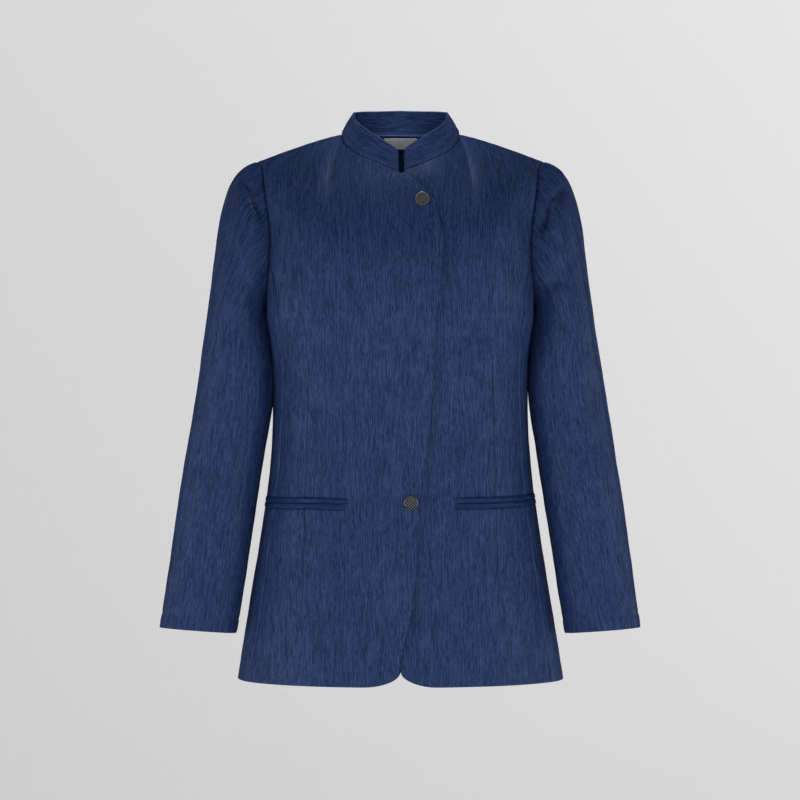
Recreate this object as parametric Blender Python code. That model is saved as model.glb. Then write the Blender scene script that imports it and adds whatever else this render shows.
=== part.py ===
"""Hip-length jacket with a stand collar, an overlapping front and double-welt pockets.

Metres, +Z up, the front faces -Y. The origin is the middle of the neck opening,
level with the points where the shoulder seams meet the collar. Every panel is a
cloth wall on one body surface or one sleeve surface, and seams are left 0.3 mm open.
"""
import bisect
import math
from collections import namedtuple
from functools import lru_cache

import bmesh
import bpy
import numpy as np

# Cloth
WALL = 0.0020
SEAM_PULL = 0.00018
LAYER_GAP = 0.0016
TRIM_WALL = 0.0012
TRIM_GAP = 0.0003

# Heights
HEM_HEIGHT = -0.722
BUST_HEIGHT = -0.245
ARMPIT_HEIGHT = -0.232

# Neck and shoulder
NECK_HALF_WIDTH = 0.079
NECK_FRONT_DEPTH = 0.068
NECK_BACK_DEPTH = 0.060
NECK_FRONT_DROP = 0.055
NECK_BACK_RISE = 0.003
NECK_CURVE = 0.85
TIP_OUT = 0.191
TIP_DROP = 0.037
SHOULDER_CURVE = 1.2
NECK_SHARE = 0.35

# Front edges
FRONT_CORNER_WIDTH = 0.050
FRONT_CORNER_HEIGHT = 0.0205
COLLAR_END_RIGHT = 0.003
COLLAR_END_LEFT = 0.005
OVERLAP_TOP_LEVELS = (0.963, 0.982)
UNDERLAP_TOP_LEVELS = (0.960, 0.967)
UNDERLAP_EASE = 0.035
UNDERLAP_MARGIN = 0.004

# Grid counts
LOWER_ROWS = 16
SEAM_ROWS = 2
ARM_ROWS = 8
SHOULDER_COLUMNS = 6
SIDE_COLUMNS = 8
BACK_NECK_COLUMNS = 4
CAP_ROWS = 6
SLEEVE_ROWS = 14
COLLAR_ROWS = 3
CORNER_LEVEL = 0.30
CORNER_SWEEP = 2.2
UNDER_SLEEVE_START = 10
UNDER_SLEEVE_END = 16

RIGHT, LEFT = -1, 1

Ring = namedtuple("Ring", "height half_width front_depth back_depth squareness")
BODY_RINGS = (
    Ring(-0.722, 0.2165, 0.127, 0.125, 2.15),
    Ring(-0.652, 0.2055, 0.122, 0.122, 2.20),
    Ring(-0.588, 0.1948, 0.117, 0.117, 2.25),
    Ring(-0.524, 0.1842, 0.112, 0.110, 2.30),
    Ring(-0.460, 0.1750, 0.107, 0.101, 2.35),
    Ring(-0.400, 0.1702, 0.104, 0.094, 2.40),
    Ring(-0.354, 0.1692, 0.104, 0.091, 2.42),
    Ring(-0.300, 0.1700, 0.110, 0.094, 2.75),
    Ring(-0.245, 0.1762, 0.122, 0.104, 3.60),
)

BODY_FLATNESS = 1.6

# Front edge of the upper panel: how far it passes the centre line, by height
EdgeRow = namedtuple("EdgeRow", "height past_centre")
OVERLAP_EDGE = (
    EdgeRow(-0.722, 0.000),
    EdgeRow(-0.703, 0.002),
    EdgeRow(-0.658, 0.012),
    EdgeRow(-0.590, 0.020),
    EdgeRow(-0.517, 0.023),
    EdgeRow(-0.477, 0.0265),
    EdgeRow(-0.434, 0.032),
    EdgeRow(-0.318, 0.043),
    EdgeRow(-0.233, 0.047),
    EdgeRow(-0.169, 0.0535),
    EdgeRow(-0.122, 0.0515),
    EdgeRow(-0.089, 0.040),
    EdgeRow(-0.059, 0.010),
)
UNDERLAP_EDGE = (
    EdgeRow(-0.722, 0.000),
    EdgeRow(-0.690, 0.002),
    EdgeRow(-0.600, 0.012),
    EdgeRow(-0.120, 0.012),
    EdgeRow(-0.059, 0.006),
)

# How the cloth meets the neck and shoulder seams: slope, turn to the centre, fullness
TopSlope = namedtuple("TopSlope", "share front back turn fullness")
TOP_SLOPES = (
    TopSlope(-0.350, 40.0, 34.0, -16.0, 0.560),
    TopSlope(-0.175, 50.0, 46.0, -9.0, 0.430),
    TopSlope(0.00, 60.0, 56.0, 0.0, 0.400),
    TopSlope(0.175, 50.0, 46.0, 9.0, 0.430),
    TopSlope(0.350, 40.0, 34.0, 16.0, 0.560),
    TopSlope(0.55, 36.0, 31.0, 8.0, 0.540),
    TopSlope(0.78, 36.0, 33.0, 0.0, 0.510),
    TopSlope(0.93, 46.0, 44.0, 0.0, 0.470),
    TopSlope(1.00, 76.0, 76.0, 0.0, 0.420),
)
RISE_FULLNESS = 0.42

# Armhole: how far it reaches in front of and behind the side line, by height
ArmholeRow = namedtuple("ArmholeRow", "height front back")
ARMHOLE = (
    ArmholeRow(-0.232, 0.000, 0.000),
    ArmholeRow(-0.226, 0.020, 0.018),
    ArmholeRow(-0.212, 0.038, 0.034),
    ArmholeRow(-0.190, 0.049, 0.047),
    ArmholeRow(-0.160, 0.052, 0.052),
    ArmholeRow(-0.125, 0.048, 0.049),
    ArmholeRow(-0.090, 0.035, 0.039),
    ArmholeRow(-0.062, 0.019, 0.024),
    ArmholeRow(-0.047, 0.008, 0.010),
    ArmholeRow(-0.037, 0.000, 0.000),
)

# Seams of the side panel as shares of the way from the centre line to the side
SeamRow = namedtuple("SeamRow", "height front back")
SIDE_SEAMS = (
    SeamRow(-0.722, 0.775, 0.70),
    SeamRow(-0.600, 0.770, 0.70),
    SeamRow(-0.460, 0.770, 0.70),
    SeamRow(-0.354, 0.755, 0.70),
    SeamRow(-0.245, 0.660, 0.72),
)

# Sleeve sections down the arm, seen from the front
SleeveRow = namedtuple("SleeveRow", "height out half_width half_depth forward")
SLEEVE_RINGS = (
    SleeveRow(-0.656, 0.2661, 0.0501, 0.036, 0.033),
    SleeveRow(-0.604, 0.2581, 0.0507, 0.039, 0.028),
    SleeveRow(-0.540, 0.2491, 0.0512, 0.044, 0.022),
    SleeveRow(-0.476, 0.2403, 0.0515, 0.049, 0.016),
    SleeveRow(-0.412, 0.2306, 0.0513, 0.053, 0.010),
    SleeveRow(-0.348, 0.2216, 0.0502, 0.058, 0.005),
    SleeveRow(-0.300, 0.2193, 0.0455, 0.061, 0.002),
    SleeveRow(-0.262, 0.2178, 0.0418, 0.062, 0.000),
)
SLEEVE_SQUARENESS = 2.2
SLEEVE_RADIUS = 0.052
AXIS_STEP = 0.010
CAP_PULL_OUT = 0.235
CAP_PULL_DOWN = 0.58
CAP_OUTWARD = 0.95
CAP_FORWARD = 0.45
CAP_FALL_OUTSIDE = 0.24
CAP_FALL_INSIDE = 0.48

# Collar band: rise and inward lean at angles from the centre front
CollarRow = namedtuple("CollarRow", "angle rise lean")
COLLAR_BAND = (
    CollarRow(0.0, 0.0270, 0.008),
    CollarRow(25.0, 0.0325, 0.010),
    CollarRow(50.0, 0.0335, 0.013),
    CollarRow(90.0, 0.0300, 0.017),
    CollarRow(130.0, 0.0315, 0.013),
    CollarRow(180.0, 0.0330, 0.008),
)
COLLAR_CORNER_CUT = 0.004
COLLAR_BOW = 0.0012
COLLAR_HALF_DEPTH = 0.064

# Soft troughs in the cloth, on the front or the back of the body. They fade out near the
# side line and toward the neck and shoulder seams
TROUGH_FADE_DEPTH = 0.045
TROUGH_FADE_LEVEL = 1.80
Trough = namedtuple("Trough", "across height length width depth slant")
FRONT_TROUGHS = (
    Trough(-0.148, -0.130, 0.110, 0.014, 0.0030, 24.0),
    Trough(-0.122, -0.178, 0.090, 0.013, 0.0020, 38.0),
    Trough(0.150, -0.135, 0.105, 0.014, 0.0028, -22.0),
    Trough(0.124, -0.186, 0.085, 0.013, 0.0020, -40.0),
    Trough(-0.110, -0.352, 0.095, 0.012, 0.0022, 78.0),
    Trough(0.108, -0.346, 0.090, 0.012, 0.0022, -76.0),
    Trough(0.004, -0.120, 0.070, 0.010, 0.0018, 40.0),
    Trough(-0.040, -0.474, 0.080, 0.012, 0.0018, 80.0),
    Trough(0.050, -0.470, 0.075, 0.012, 0.0018, -80.0),
    Trough(-0.062, -0.640, 0.130, 0.020, 0.0024, 3.0),
    Trough(0.074, -0.650, 0.120, 0.020, 0.0022, -4.0),
)
BACK_TROUGHS = (
    Trough(-0.140, -0.140, 0.115, 0.015, 0.0032, 20.0),
    Trough(0.138, -0.146, 0.110, 0.015, 0.0030, -24.0),
    Trough(-0.100, -0.350, 0.100, 0.013, 0.0026, 74.0),
    Trough(0.096, -0.362, 0.105, 0.013, 0.0026, -80.0),
    Trough(-0.050, -0.400, 0.080, 0.012, 0.0018, 82.0),
    Trough(0.085, -0.640, 0.140, 0.022, 0.0030, 3.0),
    Trough(-0.092, -0.630, 0.130, 0.022, 0.0028, -4.0),
)

# Soft troughs in a sleeve: angle round from the outer side over the front, height
SleeveTrough = namedtuple("SleeveTrough", "angle height length width depth slant")
RIGHT_SLEEVE_TROUGHS = (
    SleeveTrough(88.0, -0.118, 0.080, 0.011, 0.0034, 22.0),
    SleeveTrough(110.0, -0.262, 0.070, 0.012, 0.0030, 64.0),
    SleeveTrough(84.0, -0.372, 0.075, 0.012, 0.0026, 70.0),
    SleeveTrough(66.0, -0.404, 0.070, 0.011, 0.0020, 58.0),
    SleeveTrough(255.0, -0.150, 0.090, 0.012, 0.0034, -18.0),
    SleeveTrough(262.0, -0.385, 0.080, 0.012, 0.0030, -66.0),
    SleeveTrough(100.0, -0.560, 0.060, 0.011, 0.0018, 52.0),
)
LEFT_SLEEVE_TROUGHS = (
    SleeveTrough(84.0, -0.126, 0.085, 0.011, 0.0034, 18.0),
    SleeveTrough(72.0, -0.186, 0.085, 0.012, 0.0028, 42.0),
    SleeveTrough(112.0, -0.240, 0.070, 0.012, 0.0032, 60.0),
    SleeveTrough(88.0, -0.388, 0.080, 0.012, 0.0026, 66.0),
    SleeveTrough(252.0, -0.160, 0.090, 0.012, 0.0032, -16.0),
    SleeveTrough(258.0, -0.372, 0.085, 0.012, 0.0030, -70.0),
    SleeveTrough(92.0, -0.520, 0.060, 0.011, 0.0018, 56.0),
)

# Welts of the pockets
WELT_HEIGHT = -0.488
WELT_BAND = 0.0062
WELT_SLIT = 0.0008
WELT_SWELL = 0.0006
WELT_FLATNESS = 2.6
WELT_START = 0.300
WELT_END = 0.975
WELT_COLUMNS = 14
WELT_RISE = {RIGHT: 0.000, LEFT: 0.004}

# Buttons and neck label
BUTTON_RADIUS = 0.0093
BUTTON_SIDES = 20
BUTTON_CROWN = 0.0056
# Profile of a button: distance from its axis as a share of the radius, height off the cloth
ButtonRing = namedtuple("ButtonRing", "share height")
BUTTON_RINGS = (
    ButtonRing(0.24, 0.0000),
    ButtonRing(0.24, 0.0016),
    ButtonRing(0.72, 0.0018),
    ButtonRing(1.00, 0.0030),
    ButtonRing(1.00, 0.0044),
    ButtonRing(0.90, 0.0052),
    ButtonRing(0.80, 0.0044),
    ButtonRing(0.42, 0.0053),
)
ButtonPlace = namedtuple("ButtonPlace", "name across height")
BUTTONS = (
    ButtonPlace("button_top", 0.0283, -0.0934),
    ButtonPlace("button_lower", 0.0134, -0.4867),
)
LABEL_HALF_WIDTH = 0.0225
LABEL_HEIGHT = 0.0135
LABEL_DROP = 0.003
LABEL_WALL = 0.0008
LABEL_INSET = 0.00374

Finish = namedtuple("Finish", "color roughness metallic")
CLOTH = Finish((0.020, 0.030, 0.085, 1.0), 0.55, 0.0)
DARK_CLOTH = Finish((0.016, 0.024, 0.070, 1.0), 0.55, 0.0)
BUTTON_METAL = Finish((0.16, 0.16, 0.15, 1.0), 0.38, 0.9)
LABEL_CLOTH = Finish((0.75, 0.76, 0.78, 1.0), 0.60, 0.0)


def clear_scene():
    for item in list(bpy.data.objects):
        bpy.data.objects.remove(item, do_unlink=True)


def material(name, finish):
    made = bpy.data.materials.new(name)
    made.use_nodes = True
    shader = made.node_tree.nodes["Principled BSDF"]
    shader.inputs["Base Color"].default_value = finish.color
    shader.inputs["Roughness"].default_value = finish.roughness
    shader.inputs["Metallic"].default_value = finish.metallic
    return made


@lru_cache(maxsize=None)
def curve_through(rows, name):
    places = np.array([row[0] for row in rows])
    values = np.array([getattr(row, name) for row in rows])
    slopes = np.gradient(values, places)
    return places.tolist(), values.tolist(), slopes.tolist()


def column(rows, name, at):
    """Value of a table's column at a place, on a smooth curve through the rows."""
    places, values, slopes = curve_through(rows, name)
    at = min(max(at, places[0]), places[-1])
    low = min(bisect.bisect_right(places, at) - 1, len(places) - 2)
    span = places[low + 1] - places[low]
    t = (at - places[low]) / span
    start = (1 + 2 * t) * (1 - t) ** 2 * values[low]
    end = t * t * (3 - 2 * t) * values[low + 1]
    lean_in = t * (1 - t) ** 2 * span * slopes[low]
    lean_out = t * t * (t - 1) * span * slopes[low + 1]
    return float(start + end + lean_in + lean_out)


def soft_step(value):
    value = min(max(value, 0.0), 1.0)
    return value * value * (3.0 - 2.0 * value)


def bezier(start, lead, trail, end, t):
    return (
        (1 - t) ** 3 * start
        + 3 * (1 - t) ** 2 * t * lead
        + 3 * (1 - t) * t * t * trail
        + t ** 3 * end
    )


@lru_cache(maxsize=None)
def quarter(height, depth_name):
    """Quarter of a body ring from the centre line to the side, with its lengths."""
    width = column(BODY_RINGS, "half_width", height)
    depth = column(BODY_RINGS, depth_name, height)
    power = 2.0 / column(BODY_RINGS, "squareness", height)
    angles = np.linspace(0.0, math.pi / 2, 91)
    across = width * np.sin(angles) ** power
    deep = depth * np.clip(np.cos(angles), 0.0, 1.0) ** power
    steps = np.hypot(np.diff(across), np.diff(deep))
    lengths = np.concatenate([[0.0], np.cumsum(steps)])
    return across, deep, lengths


def ring_point(height, share, front):
    across, deep, lengths = quarter(height, "front_depth" if front else "back_depth")
    place = abs(share) * lengths[-1]
    x = float(np.interp(place, lengths, across)) * (1 if share >= 0 else -1)
    y = float(np.interp(place, lengths, deep)) * (-1 if front else 1)
    return np.array([x, y, height])


def neck_point(angle, front):
    """Point of the neck seam at an angle from the centre line, negative past it."""
    turn = math.radians(angle)
    x = NECK_HALF_WIDTH * math.sin(turn)
    fade = max(1.0 - abs(angle) / 90.0, 0.0) ** NECK_CURVE
    if not front:
        return np.array([x, NECK_BACK_DEPTH * math.cos(turn), NECK_BACK_RISE * fade])
    return np.array([x, -NECK_FRONT_DEPTH * math.cos(turn), -NECK_FRONT_DROP * fade])


def top_point(share, front):
    if share <= NECK_SHARE:
        return neck_point(90.0 * share / NECK_SHARE, front)
    along = (share - NECK_SHARE) / (1.0 - NECK_SHARE)
    out = NECK_HALF_WIDTH + (TIP_OUT - NECK_HALF_WIDTH) * along
    return np.array([out, 0.0, -TIP_DROP * along ** SHOULDER_CURVE])


def body_point(around, level):
    """Outer face of the body. around runs from the centre front (0) over the side (1)
    to the centre back (2); level runs from the hem (0) over the bust (1) to the top (2)."""
    front = around <= 1.0
    share = around if front else 2.0 - around
    if level <= 1.0:
        height = HEM_HEIGHT + (BUST_HEIGHT - HEM_HEIGHT) * level
        return ring_point(height, share, front)
    start = ring_point(BUST_HEIGHT, share, front)
    end = top_point(share, front)
    slope = math.radians(column(TOP_SLOPES, "front" if front else "back", share))
    turn = math.radians(column(TOP_SLOPES, "turn", share))
    flat = math.cos(slope)
    inward = math.cos(turn) * (1 if front else -1)
    arrive = np.array([-math.sin(turn) * flat, inward * flat, math.sin(slope)])
    reach = float(np.linalg.norm(end - start))
    lead = start + np.array([0.0, 0.0, RISE_FULLNESS * reach])
    trail = end - arrive * column(TOP_SLOPES, "fullness", share) * reach
    return bezier(start, lead, trail, end, level - 1.0)


def trough_depth(x, z, troughs):
    sunk = 0.0
    for trough in troughs:
        turn = math.radians(trough.slant)
        side = (x - trough.across) * math.cos(turn) + (z - trough.height) * math.sin(turn)
        along = -(x - trough.across) * math.sin(turn) + (z - trough.height) * math.cos(turn)
        cross = math.exp(-((side / trough.width) ** 2))
        sunk += trough.depth * cross * math.exp(-((along / (0.5 * trough.length)) ** 4))
    return sunk


@lru_cache(maxsize=None)
def armhole_share(level, front):
    """Share at which a level of the body meets the armhole."""
    name = "front" if front else "back"
    shares = np.linspace(0.60, 1.0, 161)
    misses = []
    for share in shares:
        point = body_point(share if front else 2.0 - share, level)
        misses.append(abs(point[1]) - column(ARMHOLE, name, point[2]))
    misses = np.array(misses)
    inside = np.nonzero(misses > 1e-6)[0]
    if not len(inside) or inside[-1] >= len(shares) - 2:
        return 1.0
    last = inside[-1]
    drop = misses[last] - misses[last + 1]
    return float(shares[last] + (shares[last + 1] - shares[last]) * misses[last] / drop)


def armhole_level(around):
    """Level at which a column of the side panel meets the bottom of the armhole."""
    name = "front" if around <= 1.0 else "back"
    levels = np.linspace(1.0, 1.0 + CORNER_LEVEL + 0.05, 141)
    for level in levels:
        point = body_point(around, level)
        if point[2] >= ARMPIT_HEIGHT and abs(point[1]) <= column(ARMHOLE, name, point[2]):
            return float(level)
    return float(levels[-1])


@lru_cache(maxsize=None)
def front_edge(level, table):
    """Share, negative past the centre line, of a front edge at a level."""
    shares = np.linspace(-0.40, 0.10, 101)
    misses = []
    for share in shares:
        point = body_point(share, level)
        misses.append(point[0] + column(table, "past_centre", point[2]))
    return float(np.interp(0.0, np.array(misses), shares))


def seam_share(level, front):
    name = "front" if front else "back"
    if level <= 1.0:
        height = HEM_HEIGHT + (BUST_HEIGHT - HEM_HEIGHT) * level
        return column(SIDE_SEAMS, name, height)
    low = getattr(SIDE_SEAMS[-1], name)
    corner = armhole_share(1.0 + CORNER_LEVEL, front)
    return low + (corner - low) * ((level - 1.0) / CORNER_LEVEL) ** CORNER_SWEEP


def panel_levels():
    lower = [row / LOWER_ROWS for row in range(LOWER_ROWS + 1)]
    seam = [1.0 + CORNER_LEVEL * (row + 1) / SEAM_ROWS for row in range(SEAM_ROWS)]
    rest = 1.0 - CORNER_LEVEL
    arm = [1.0 + CORNER_LEVEL + rest * (row + 1) / ARM_ROWS for row in range(ARM_ROWS)]
    return lower + seam + arm


def outer_share(level, front):
    if level <= 1.0 + CORNER_LEVEL + 1e-9:
        return seam_share(level, front)
    return armhole_share(level, front)


class Sheet:
    """Grid of outer points of one cloth piece, with its outward directions."""

    def __init__(self, name, grid, middle, finish, wall=WALL):
        self.name = name
        self.grid = np.array(grid)
        self.finish = finish
        self.wall = wall
        self.out = outward(self.grid, middle)

    def pull_edges(self, first_row=0.0, last_row=0.0, first_column=0.0, last_column=0.0):
        moved = self.grid.copy()
        moved[0] += shift(self.grid[1] - self.grid[0], first_row)
        moved[-1] += shift(self.grid[-2] - self.grid[-1], last_row)
        moved[:, 0] += shift(self.grid[:, 1] - self.grid[:, 0], first_column)
        moved[:, -1] += shift(self.grid[:, -2] - self.grid[:, -1], last_column)
        self.grid = moved


def shift(steps, distance):
    lengths = np.linalg.norm(steps, axis=-1, keepdims=True)
    return steps / np.maximum(lengths, 1e-9) * distance


def outward(grid, middle):
    down = np.gradient(grid, axis=0)
    over = np.gradient(grid, axis=1)
    out = np.cross(down, over)
    out /= np.maximum(np.linalg.norm(out, axis=-1, keepdims=True), 1e-12)
    centres = np.array([[middle(point) for point in row] for row in grid])
    if np.sum(out * (grid - centres)) < 0:
        out = -out
    return out


def body_middle(point):
    return np.array([0.0, 0.0, point[2] - 0.05])


def share_seam_directions(sheets):
    """Gives points that lie on each other one direction, so that walls meet in a mitre."""
    sums = {}
    for sheet in sheets:
        for place, out in zip(sheet.grid.reshape(-1, 3), sheet.out.reshape(-1, 3)):
            key = tuple(np.round(place, 5))
            sums[key] = sums.get(key, np.zeros(3)) + out
    for sheet in sheets:
        flat = sheet.out.reshape(-1, 3)
        for index, place in enumerate(sheet.grid.reshape(-1, 3)):
            total = sums[tuple(np.round(place, 5))]
            size = np.linalg.norm(total)
            if size > 0.3:
                flat[index] = total / size
        sheet.out = flat.reshape(sheet.grid.shape)


def inward_at(point):
    reach = math.hypot(point[0] / BODY_FLATNESS, point[1]) or 1.0
    return np.array([-point[0] / BODY_FLATNESS / reach, -point[1] / reach, 0.0])


def cloth_point(around, level, side, inset=0.0):
    """Body point with its soft troughs, on the right (-1) or left (1) half."""
    point = body_point(around, level)
    troughs = FRONT_TROUGHS if around <= 1.0 else BACK_TROUGHS
    sunk = trough_depth(point[0] * side, point[2], troughs)
    sunk *= soft_step(abs(point[1]) / TROUGH_FADE_DEPTH)
    sunk *= 1.0 - soft_step((level - TROUGH_FADE_LEVEL) / (2.0 - TROUGH_FADE_LEVEL))
    point = point + inward_at(point) * (sunk + inset)
    return [point[0] * side, point[1], point[2]]


def front_weights(end_share, edge_share):
    """Column weights between the front edge (0) and the neck point column (1)."""
    end = (end_share - edge_share) / (NECK_SHARE - edge_share)
    rest = [end + (1.0 - end) * (step / 5) for step in range(6)]
    return [0.0, 0.5 * end] + rest


def corner_level(share, edge, level, girth):
    """Level of a front point, raised near the hem to round the front corner."""
    gone = 1.0 - min(max((share - edge) * girth / FRONT_CORNER_WIDTH, 0.0), 1.0)
    lift = FRONT_CORNER_HEIGHT * (1.0 - math.sqrt(1.0 - gone ** 2))
    return level + lift / (BUST_HEIGHT - HEM_HEIGHT) * (1.0 - level) ** 3


def underlap_inset(share, level):
    """How far the lower front lies in, under the upper one and a little beyond it."""
    point = body_point(share, level)
    covered = column(OVERLAP_EDGE, "past_centre", point[2]) + UNDERLAP_MARGIN
    return (WALL + LAYER_GAP) * (1.0 - soft_step((point[0] - covered) / UNDERLAP_EASE))


def front_panel(name, side, table, collar_end, top_levels, underlap):
    end_share = NECK_SHARE * math.degrees(math.asin(collar_end / NECK_HALF_WIDTH)) / 90.0
    girth = quarter(HEM_HEIGHT, "front_depth")[2][-1]
    weights = front_weights(end_share, front_edge(1.0 + top_levels[0], table))
    grid = []
    for level in panel_levels():
        above = max(level - 1.0, 0.0)
        inner = front_edge(min(level, 1.0) + above * top_levels[0], table)
        outer = outer_share(level, True)
        shares = [inner + (NECK_SHARE - inner) * weight for weight in weights]
        for step in range(SHOULDER_COLUMNS):
            shares.append(NECK_SHARE + (outer - NECK_SHARE) * (step + 1) / SHOULDER_COLUMNS)
        line = []
        for index, share in enumerate(shares):
            here = min(level, 1.0) + above * (top_levels[index] if index < 2 else 1.0)
            if level < 1.0:
                here = corner_level(share, inner, level, girth)
            inset = underlap_inset(share, here) if underlap else 0.0
            line.append(cloth_point(share, here, side, inset))
        grid.append(line)
    return Sheet(name, grid, body_middle, CLOTH), len(weights)


def back_panel(name, side):
    def shares_at(level):
        outer = outer_share(level, False)
        neck = [NECK_SHARE * step / BACK_NECK_COLUMNS for step in range(BACK_NECK_COLUMNS + 1)]
        steps = [(step + 1) / SHOULDER_COLUMNS for step in range(SHOULDER_COLUMNS)]
        return neck + [NECK_SHARE + (outer - NECK_SHARE) * step for step in steps]

    grid = []
    for level in panel_levels():
        grid.append([cloth_point(2.0 - share, level, side) for share in shares_at(level)])
    return Sheet(name, grid, body_middle, CLOTH)


def side_panel(name, side):
    """Panel under the arm, from the hem to the bottom of the armhole."""
    rows = [row / LOWER_ROWS for row in range(LOWER_ROWS + 1)]
    top = 1.0 + CORNER_LEVEL
    columns = [step / SIDE_COLUMNS for step in range(SIDE_COLUMNS + 1)]
    ends = (armhole_share(top, True), 2.0 - armhole_share(top, False))
    reach = [top]
    for step in columns[1:-1]:
        reach.append(armhole_level(ends[0] + (ends[1] - ends[0]) * step))
    reach.append(top)
    grid = []
    for row in rows + [top * (step + 1) / SEAM_ROWS for step in range(SEAM_ROWS)]:
        above = len(grid) > LOWER_ROWS
        part = (len(grid) - LOWER_ROWS) / SEAM_ROWS
        line = []
        for step, high in zip(columns, reach):
            level = 1.0 + (high - 1.0) * part if above else row
            seam_level = 1.0 + CORNER_LEVEL * part if above else row
            first = seam_share(seam_level, True)
            last = 2.0 - seam_share(seam_level, False)
            line.append(cloth_point(first + (last - first) * step, level, side))
        grid.append(line)
    return Sheet(name, grid, body_middle, CLOTH)


def sleeve_centre(height, side):
    out = column(SLEEVE_RINGS, "out", height)
    return np.array([out * side, -column(SLEEVE_RINGS, "forward", height), height])


def sleeve_ring(height, side, angle):
    """Point of a sleeve section. angle runs from the outer side (0) over the front (90)."""
    low = sleeve_centre(height - AXIS_STEP, side)
    high = sleeve_centre(height + AXIS_STEP, side)
    axis = (low - high) / np.linalg.norm(low - high)
    wide = np.array([side, 0.0, 0.0]) - axis * axis[0] * side
    wide /= np.linalg.norm(wide)
    deep = np.cross(axis, wide)
    deep *= -1.0 if deep[1] > 0 else 1.0
    turn = math.radians(angle)
    power = 2.0 / SLEEVE_SQUARENESS
    cosine, sine = math.cos(turn), math.sin(turn)
    half_width = column(SLEEVE_RINGS, "half_width", height)
    half_depth = column(SLEEVE_RINGS, "half_depth", height)
    u = half_width * math.copysign(abs(cosine) ** power, cosine)
    v = half_depth * math.copysign(abs(sine) ** power, sine)
    return sleeve_centre(height, side) + wide * u + deep * v


def sleeve_sunk(point, centre, angle, height, troughs):
    sunk = 0.0
    for trough in troughs:
        turn = math.radians(trough.slant)
        over = math.radians(angle - trough.angle) * SLEEVE_RADIUS
        up = height - trough.height
        side = over * math.cos(turn) + up * math.sin(turn)
        along = -over * math.sin(turn) + up * math.cos(turn)
        cross = math.exp(-((side / trough.width) ** 2))
        sunk += trough.depth * cross * math.exp(-((along / (0.5 * trough.length)) ** 4))
    inward = centre - point
    inward[2] = 0.0
    return point + inward / max(np.linalg.norm(inward), 1e-6) * sunk


def sleeve_grid(loop, side, troughs):
    """Sleeve from the armhole loop, over the cap, down to the cuff."""
    lengths = np.concatenate([[0.0], np.cumsum(np.linalg.norm(np.diff(loop, axis=0), axis=1))])
    armpit = int(np.argmin(loop[:, 2]))
    angles = np.where(
        np.arange(len(loop)) <= armpit,
        180.0 * lengths / lengths[armpit],
        180.0 + 180.0 * (lengths - lengths[armpit]) / (lengths[-1] - lengths[armpit]),
    )
    top, bottom = SLEEVE_RINGS[-1].height, SLEEVE_RINGS[0].height
    rows = []
    for row in range(CAP_ROWS + 1):
        t = row / CAP_ROWS
        line = []
        for start, angle in zip(loop, angles):
            end = sleeve_ring(top, side, angle)
            onward = sleeve_ring(top - AXIS_STEP, side, angle) - end
            onward /= np.linalg.norm(onward)
            reach = float(np.linalg.norm(end - start))
            turn = math.radians(angle)
            inner = 0.5 - 0.5 * math.cos(turn)
            fall = CAP_FALL_OUTSIDE + (CAP_FALL_INSIDE - CAP_FALL_OUTSIDE) * inner
            leave = np.array([side * CAP_OUTWARD, -CAP_FORWARD * math.sin(turn), -fall])
            leave /= np.linalg.norm(leave)
            lead = start + leave * CAP_PULL_OUT * reach
            trail = end - onward * CAP_PULL_DOWN * reach
            point = bezier(start, lead, trail, end, t)
            if row:
                centre = sleeve_centre(min(point[2], top), side)
                point = sleeve_sunk(point, centre, angle, point[2], troughs)
            line.append(point)
        rows.append(line)
    for row in range(1, SLEEVE_ROWS + 1):
        height = top + (bottom - top) * row / SLEEVE_ROWS
        line = []
        for angle in angles:
            point = sleeve_ring(height, side, angle)
            centre = sleeve_centre(height, side)
            line.append(sleeve_sunk(point, centre, angle, height, troughs))
        rows.append(line)
    return np.array(rows)


def armhole_loop(front, side_sheet, back):
    """Closed armhole from the shoulder tip down the front, under the arm and up the back."""
    corner = LOWER_ROWS + SEAM_ROWS
    down = front.grid[corner:, -1][::-1]
    under = side_sheet.grid[-1, 1:-1]
    up = back.grid[corner:, -1]
    return np.concatenate([down, under, up])


def sleeve_sheets(word, side, loop, troughs):
    grid = sleeve_grid(loop, side, troughs)

    def middle(point):
        low, high = SLEEVE_RINGS[0].height, SLEEVE_RINGS[-1].height
        return sleeve_centre(min(max(point[2], low), high), side)

    closed = grid[:, :-1]
    count = closed.shape[1]
    first, last = UNDER_SLEEVE_START, UNDER_SLEEVE_END
    over = [index % count for index in range(last, count + first + 1)]
    top = Sheet("top_sleeve_" + word, closed[:, over], middle, CLOTH)
    under = Sheet("under_sleeve_" + word, closed[:, first:last + 1], middle, CLOTH)
    return top, under


def collar_sheet(base):
    """Stand collar on the neck seam, from the right front end round to the left one."""
    count = len(base)
    grid = []
    for row in range(COLLAR_ROWS + 1):
        part = row / COLLAR_ROWS
        line = []
        for index, start in enumerate(base):
            across, deep = abs(start[0]) / NECK_HALF_WIDTH, -start[1] / COLLAR_HALF_DEPTH
            angle = math.degrees(math.atan2(across, deep))
            rise = column(COLLAR_BAND, "rise", angle)
            lean = column(COLLAR_BAND, "lean", angle)
            if index in (0, count - 1):
                rise -= COLLAR_CORNER_CUT
            plan = np.array([start[0], start[1], 0.0])
            inward = -plan / np.linalg.norm(plan)
            bow = math.sin(math.pi * part) * COLLAR_BOW
            up = np.array([0.0, 0.0, rise * part])
            line.append(start + inward * (lean * part - bow) + up)
        grid.append(line)

    def middle(point):
        return np.array([0.0, 0.0, point[2] - 0.02])

    return Sheet("collar", grid, middle, CLOTH, WALL)


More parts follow.
